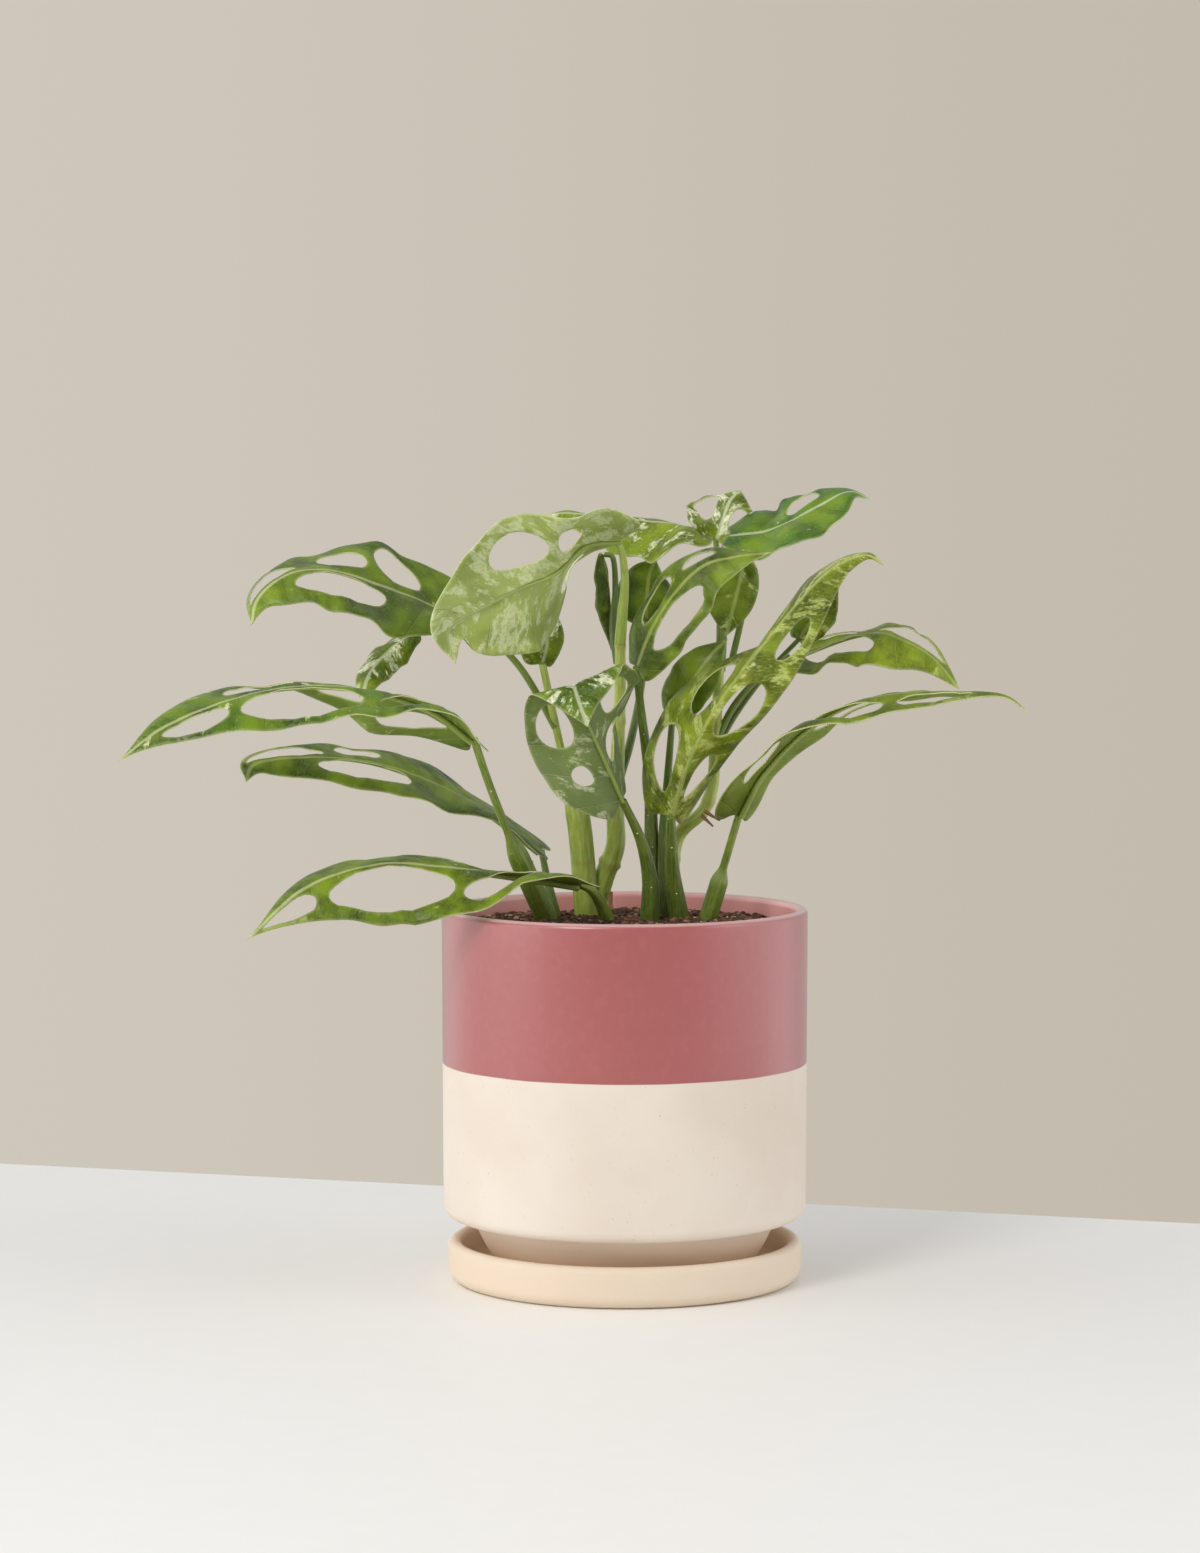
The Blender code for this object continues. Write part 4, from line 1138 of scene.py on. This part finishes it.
def make_stem(stem, bases):
    points = [np.array(p, float) for p in stem.points]
    if stem.leaf:
        points.append(bases[stem.leaf])
    path, _ = smooth_path(points, RIB_STATIONS)
    if stem.points[0][2] == 0:
        path = np.vstack([path[:1] - (0, 0, STEM_DEPTH), path])
    foot, top = (radius * MM for radius in stem.radii)
    sheathed = stem.name in SHEATHED
    cane = stem.name in ("cane_left", "cane_right")
    mesh = STEM_GROWTH.run(
        path_curve(stem.name, path), stem.name, Foot=foot, Top=top,
        Sheath=SHEATHED.get(stem.name, 0.5), Softness=0.07 if sheathed else 0.5,
        Ring=0.18 if cane else 0.0, Spacing=0.034, Flutes=0.02 if cane else 0.05, Sides=30,
        Skin=stem_skin(stem.name),
    )
    piece = add_piece(f"{stem.name}_grown", mesh, None)
    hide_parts(stem.name)
    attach(piece, "root")
    return len(mesh.polygons)


LEAF_BASES = {leaf.name: np.array(leaf.spine[0], float) for leaf in LEAVES}
print("stem faces:", sum(make_stem(stem, LEAF_BASES) for stem in STEMS))

# %% [markdown]
# Under each blade the stalk goes on as the midrib, a ridge that stands out below and tapers to nothing
# at the tip. The same tree makes it, with its path set just below the blade, so the ridge is real and
# casts its own thin shadow.

# %% The midribs
RIB_RADIUS = 1.35
RIB_LENGTH = 150
RIB_TIP = 0.22
RIB_REACH = 0.97


def make_midrib(leaf):
    path, length = smooth_path(leaf.spine, RIB_STATIONS)
    _, faces, _ = carried_frames(path, leaf.face, leaf.twist)
    share = np.linspace(0, 1, len(path))[:, None]
    thick = RIB_RADIUS * (length / RIB_LENGTH) ** 0.5
    path = path - faces * (0.15 + (0.85 * thick + CHANNEL) * (1 - share))
    path = path[: int(RIB_REACH * len(path))]
    mesh = STEM_GROWTH.run(
        path_curve(f"midrib_{leaf.name}", path), leaf.name, Foot=thick * MM, Top=RIB_TIP * MM,
        Sheath=0.42, Softness=0.55, Ring=0.0, Spacing=0.05, Flutes=0.0, Sides=16, Skin=RIB_SKIN,
    )
    rib = add_piece(f"midrib_{leaf.name}", mesh, None)
    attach(rib, "root")
    return len(mesh.polygons)


print("midrib faces:", sum(make_midrib(leaf) for leaf in LEAVES))

# %% [markdown]
# ## The soil
# Potting mix is a rough bed with crumbs and bits of bark lying on it. The bed is a disc whose surface
# is pushed up and down by three layers of noise, from broad to fine, and sags a little at the wall of
# the pot, where watering draws it down.

# %% The bed
SOIL_RADIUS = POT_RADIUS - POT_WALL - 0.2
SOIL_DEPTH = 40
SOIL_LUMPS = ((0, 1.3, 0.09), (5, 0.9, 0.33), (9, 0.5, 0.9))


def make_bed():
    mesh = bpy.data.meshes.new("soil_bed")
    work = bmesh.new()
    rings, spokes = 70, 200
    centre = work.verts.new((0, 0, (SOIL_LEVEL - 0.6) * MM))
    rows = []
    for ring in range(1, rings + 1):
        radius = SOIL_RADIUS * ring / rings
        row = []
        for spoke in range(spokes):
            angle = 2 * pi * spoke / spokes
            x, y = radius * cos(angle), radius * sin(angle)
            lump = 0
            for layer, height, fineness in SOIL_LUMPS:
                lump += height * noise.noise(Vector((x, y, layer)) * fineness)
            sag = 1.5 * max(0, ring / rings - 0.8) / 0.2
            row.append(work.verts.new((x * MM, y * MM, (SOIL_LEVEL - 0.9 - sag + lump) * MM)))
        rows.append(row)
    bottom = (SOIL_LEVEL - SOIL_DEPTH) * MM
    rows.append([work.verts.new((v.co.x, v.co.y, bottom)) for v in rows[-1]])
    for spoke in range(spokes):
        following = (spoke + 1) % spokes
        work.faces.new((centre, rows[0][spoke], rows[0][following]))
        for inner, outer in zip(rows, rows[1:]):
            work.faces.new((inner[spoke], outer[spoke], outer[following], inner[following]))
    work.faces.new(list(reversed(rows[-1])))
    work.to_mesh(mesh)
    work.free()
    mesh.shade_smooth()
    return mesh


def soil_finish():
    finish = Finish("potting_mix")
    place = finish.place()
    clods = finish.noise(place, 420, 3, 0.7)
    skin = finish.mix(clods.rise(0.35, 0.65), colour(44, 24, 16), colour(104, 70, 50))
    skin = finish.mix(finish.noise(place, 900, 2).rise(0.62, 0.7) * 0.6, skin, colour(124, 92, 60))
    return finish.wear(skin, 0.85 + 0.1 * clods, clods, 0.002, 1.0)


bed = add_piece("soil_bed", make_bed(), soil_finish())
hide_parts("soil")
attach(bed, "root")
print("soil bed:", len(bed.data.polygons), "faces")

# %% [markdown]
# The crumbs are one small lump, scattered over the bed by Geometry Nodes with a fixed seed, turned and
# scaled at random. Hundreds of separate objects would do the same and be slow to handle. Each crumb
# keeps a random tone, so that no two neighbours match.

# %% Crumbs scattered on the bed
def scatter_growth():
    """Small lumps standing on the upward faces of a surface."""
    grow = Growth("Scatter lumps")
    density, seed = grow.ask("Density"), grow.ask("Seed", "Int")
    small, large = grow.ask("Small"), grow.ask("Large")
    flat, sink, tilt = grow.ask("Flat"), grow.ask("Sink"), grow.ask("Tilt")
    skin = grow.ask("Skin", "Material")
    normal = grow.node("GeometryNodeInputNormal")
    upward = grow.node("ShaderNodeSeparateXYZ", values={0: normal}, output="Z")
    facing = grow.node("ShaderNodeMath", {"operation": "GREATER_THAN"}, {0: upward, 1: tilt})
    values = {"Mesh": grow.start(), "Selection": facing, "Density": density, "Seed": seed}
    points = grow.node("GeometryNodeDistributePointsOnFaces", values=values)
    lump = grow.node("GeometryNodeMeshIcoSphere", values={"Radius": 1.0, "Subdivisions": 2})
    place = grow.node("GeometryNodeInputPosition")
    dents = grow.node("ShaderNodeTexNoise", values={"Vector": place, "Scale": 1.3, "Detail": 1.0})
    values = {0: place, "Scale": 0.45 + dents * 1.1}
    dented = grow.node("ShaderNodeVectorMath", {"operation": "SCALE"}, values)
    lump = grow.node("GeometryNodeSetPosition", values={"Geometry": lump, "Position": dented})
    size = small + (large - small) * grow.chance(0.0, 1.0, 3) ** 2.2
    squeeze = grow.chance(0.55, 1.0, 4)
    scale = grow.vector(size, size * squeeze, size * flat)
    values = {0: (-0.5, -0.5, 0.0), 1: (0.5, 0.5, 6.28), 8: 5}
    turn = grow.node("FunctionNodeRandomValue", {"data_type": "FLOAT_VECTOR"}, values)
    turned = grow.node("FunctionNodeEulerToRotation", values={0: turn})
    values = {"Points": points, "Instance": lump, "Rotation": turned, "Scale": scale}
    lumps = grow.node("GeometryNodeInstanceOnPoints", values=values)
    kept = grow.keep(lumps, "tone", grow.chance(0.0, 1.0, 6))
    kept.socket.node.domain = "INSTANCE"
    values = {"Instances": kept, "Translation": grow.vector(0.0, 0.0, sink)}
    lowered = grow.node("GeometryNodeTranslateInstances", values=values)
    grow.end(lowered, skin)
    return grow


def crumb_finish():
    finish = Finish("soil_crumbs")
    place, tone = finish.place(), finish.attribute("tone")
    grain = finish.noise(place, 1500, 2)
    skin = finish.mix(tone.rise(0.0, 0.75), colour(58, 32, 22), colour(146, 100, 76))
    skin = finish.mix(tone.rise(0.86, 0.97), skin, colour(206, 168, 136))
    skin = finish.mix(grain.rise(0.4, 0.7) * 0.35, skin, colour(54, 34, 20))
    return finish.wear(skin, 0.8 + 0.15 * grain, grain, 0.0004, 0.8)


def stand_in(mesh):
    holder = bpy.data.objects.new("holder", mesh.copy())
    bpy.context.scene.collection.objects.link(holder)
    return holder


SCATTER = scatter_growth()
crumbs = add_piece("soil_crumbs", SCATTER.run(
    stand_in(bed.data), "crumbs", Density=110000.0, Seed=11, Small=0.0005, Large=0.0017, Flat=0.6,
    Sink=0.0001, Tilt=0.3, Skin=crumb_finish()), None)
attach(crumbs, "root")
print("crumbs:", len(crumbs.data.polygons), "faces")

# %% [markdown]
# The plant was sprayed a moment ago, so small drops of water hang on the stout stalks in front. The
# same tree scatters them, this time on every side of the stalks and as smaller, rounder lumps. The drops
# are opaque and glossy, and their pale colour is a painted highlight for clear water.

# %% Drops of water on the front stalks
WET_STALKS = ("stalk_front_left", "stalk_big_right", "stalk_folded_centre", "stalk_long_left")


def water_with_painted_highlight():
    finish = Finish("water_drops", Coat_Weight=1.0, Coat_Roughness=0.02)
    # Painted highlight: the drops' pale green stands in for the light seen in and on clear water.
    skin = finish.mix(finish.noise(finish.place(), 200, 1), colour(176, 196, 128), colour(206, 220, 170))
    return finish.wear(skin, 0.06)


WATER_WITH_PAINTED_HIGHLIGHT = water_with_painted_highlight()
for name in WET_STALKS:
    wet = add_piece(f"drops_{name}", SCATTER.run(
        stand_in(bpy.data.objects[f"{name}_grown"].data), name, Density=26000.0, Seed=5, Small=0.00012,
        Large=0.00050, Flat=0.9, Sink=0.0, Tilt=-2.0, Skin=WATER_WITH_PAINTED_HIGHLIGHT), None)
    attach(wet, "root")
    print("drops on", name, len(wet.data.polygons) // 80)

# %% [markdown]
# ## Table, light and air
# The plant stands on a white table in front of a plain greige wall. The wall is a soft colour that only
# the camera sees, a little lighter on the left, which is painted light from the lamps on that side.
# Everything else is lit by a pale room, by one large soft lamp high on the left, and by two weaker ones
# that stand to the left and to the right, whose broad reflections show that the glaze is smooth.

# %% The stage
TABLE_SIZE = (2.4, 1.2, 0.03)
TABLE_BACK = (-0.011, 0.224, 0)
TABLE_TURN = -16.9
LAMP_TARGET = Vector((0, 0, 0.2))


def make_table():
    finish = Finish("white_table")
    place = finish.place()
    grain = finish.noise(place, 60, 3)
    skin = finish.mix(grain.rise(0.3, 0.7), colour(246, 245, 241), colour(247, 246, 242))
    mesh = bpy.data.meshes.new("table")
    work = bmesh.new()
    bmesh.ops.create_cube(work, size=1.0)
    _, depth, thickness = TABLE_SIZE
    bmesh.ops.scale(work, vec=TABLE_SIZE, verts=work.verts[:])
    bmesh.ops.translate(work, vec=(0, -depth / 2, -thickness / 2), verts=work.verts[:])
    work.transform(Matrix.Translation(TABLE_BACK) @ Matrix.Rotation(radians(TABLE_TURN), 4, "Z"))
    bmesh.ops.bevel(work, geom=work.edges[:], offset=0.002, segments=2, affect="EDGES")
    work.to_mesh(mesh)
    work.free()
    table = add_piece("table", mesh, finish.wear(skin, 0.55))


def make_world():
    world = bpy.data.worlds.new("air")
    bpy.context.scene.world = world
    world.use_nodes = True
    board = Board(world.node_tree)
    shown = world.node_tree.nodes["Background"]
    ray = board.node("ShaderNodeLightPath", output="Is Camera Ray")
    towards = board.node("ShaderNodeTexCoord", output="Generated")
    x = board.node("ShaderNodeSeparateXYZ", values={0: towards}, output="X")
    # The wall's lighter left side is painted light, for the lamps that stand on the left.
    values = {0: x.rise(-0.17, 0.17), 6: colour(206, 199, 187), 7: colour(195, 187, 173)}
    wall = board.node("ShaderNodeMix", {"data_type": "RGBA"}, values, output=2)
    left, right = (-x).rise(0.25, 0.95), x.rise(0.6, 1.0)
    glow = board.vector(0.50, 0.50, 0.505)
    values = {0: glow, "Scale": 1 + left * 1.2 + right * 1.9}
    room = board.node("ShaderNodeVectorMath", {"operation": "SCALE"}, values)
    sky = board.node("ShaderNodeMix", {"data_type": "RGBA"}, {0: ray, 6: room, 7: wall}, output=2)
    board.feed(shown.inputs["Color"], sky)
    shown.inputs["Strength"].default_value = 1.0


def make_lamp(name, place, size, power, tint):
    data = bpy.data.lights.new(name, "AREA")
    data.shape = "DISK"
    data.size = size
    data.energy = power
    data.color = tint
    lamp = bpy.data.objects.new(name, data)
    bpy.context.scene.collection.objects.link(lamp)
    lamp.location = place
    lamp.rotation_euler = (LAMP_TARGET - Vector(place)).to_track_quat("-Z", "Y").to_euler()


LAMPS = (
    ("key", (-1.1, -1.7, 1.6), 0.9, 22, (1.0, 0.98, 0.95)),
    ("left_box", (-1.7, -0.55, 0.45), 1.5, 5.5, (1.0, 0.98, 0.96)),
    ("right_box", (1.6, -0.6, 0.9), 0.8, 3, (1.0, 0.98, 0.96)),
)

make_table()
make_world()
for lamp in LAMPS:
    make_lamp(*lamp)
bpy.context.scene.view_settings.view_transform = "Standard"
print("stage ready")
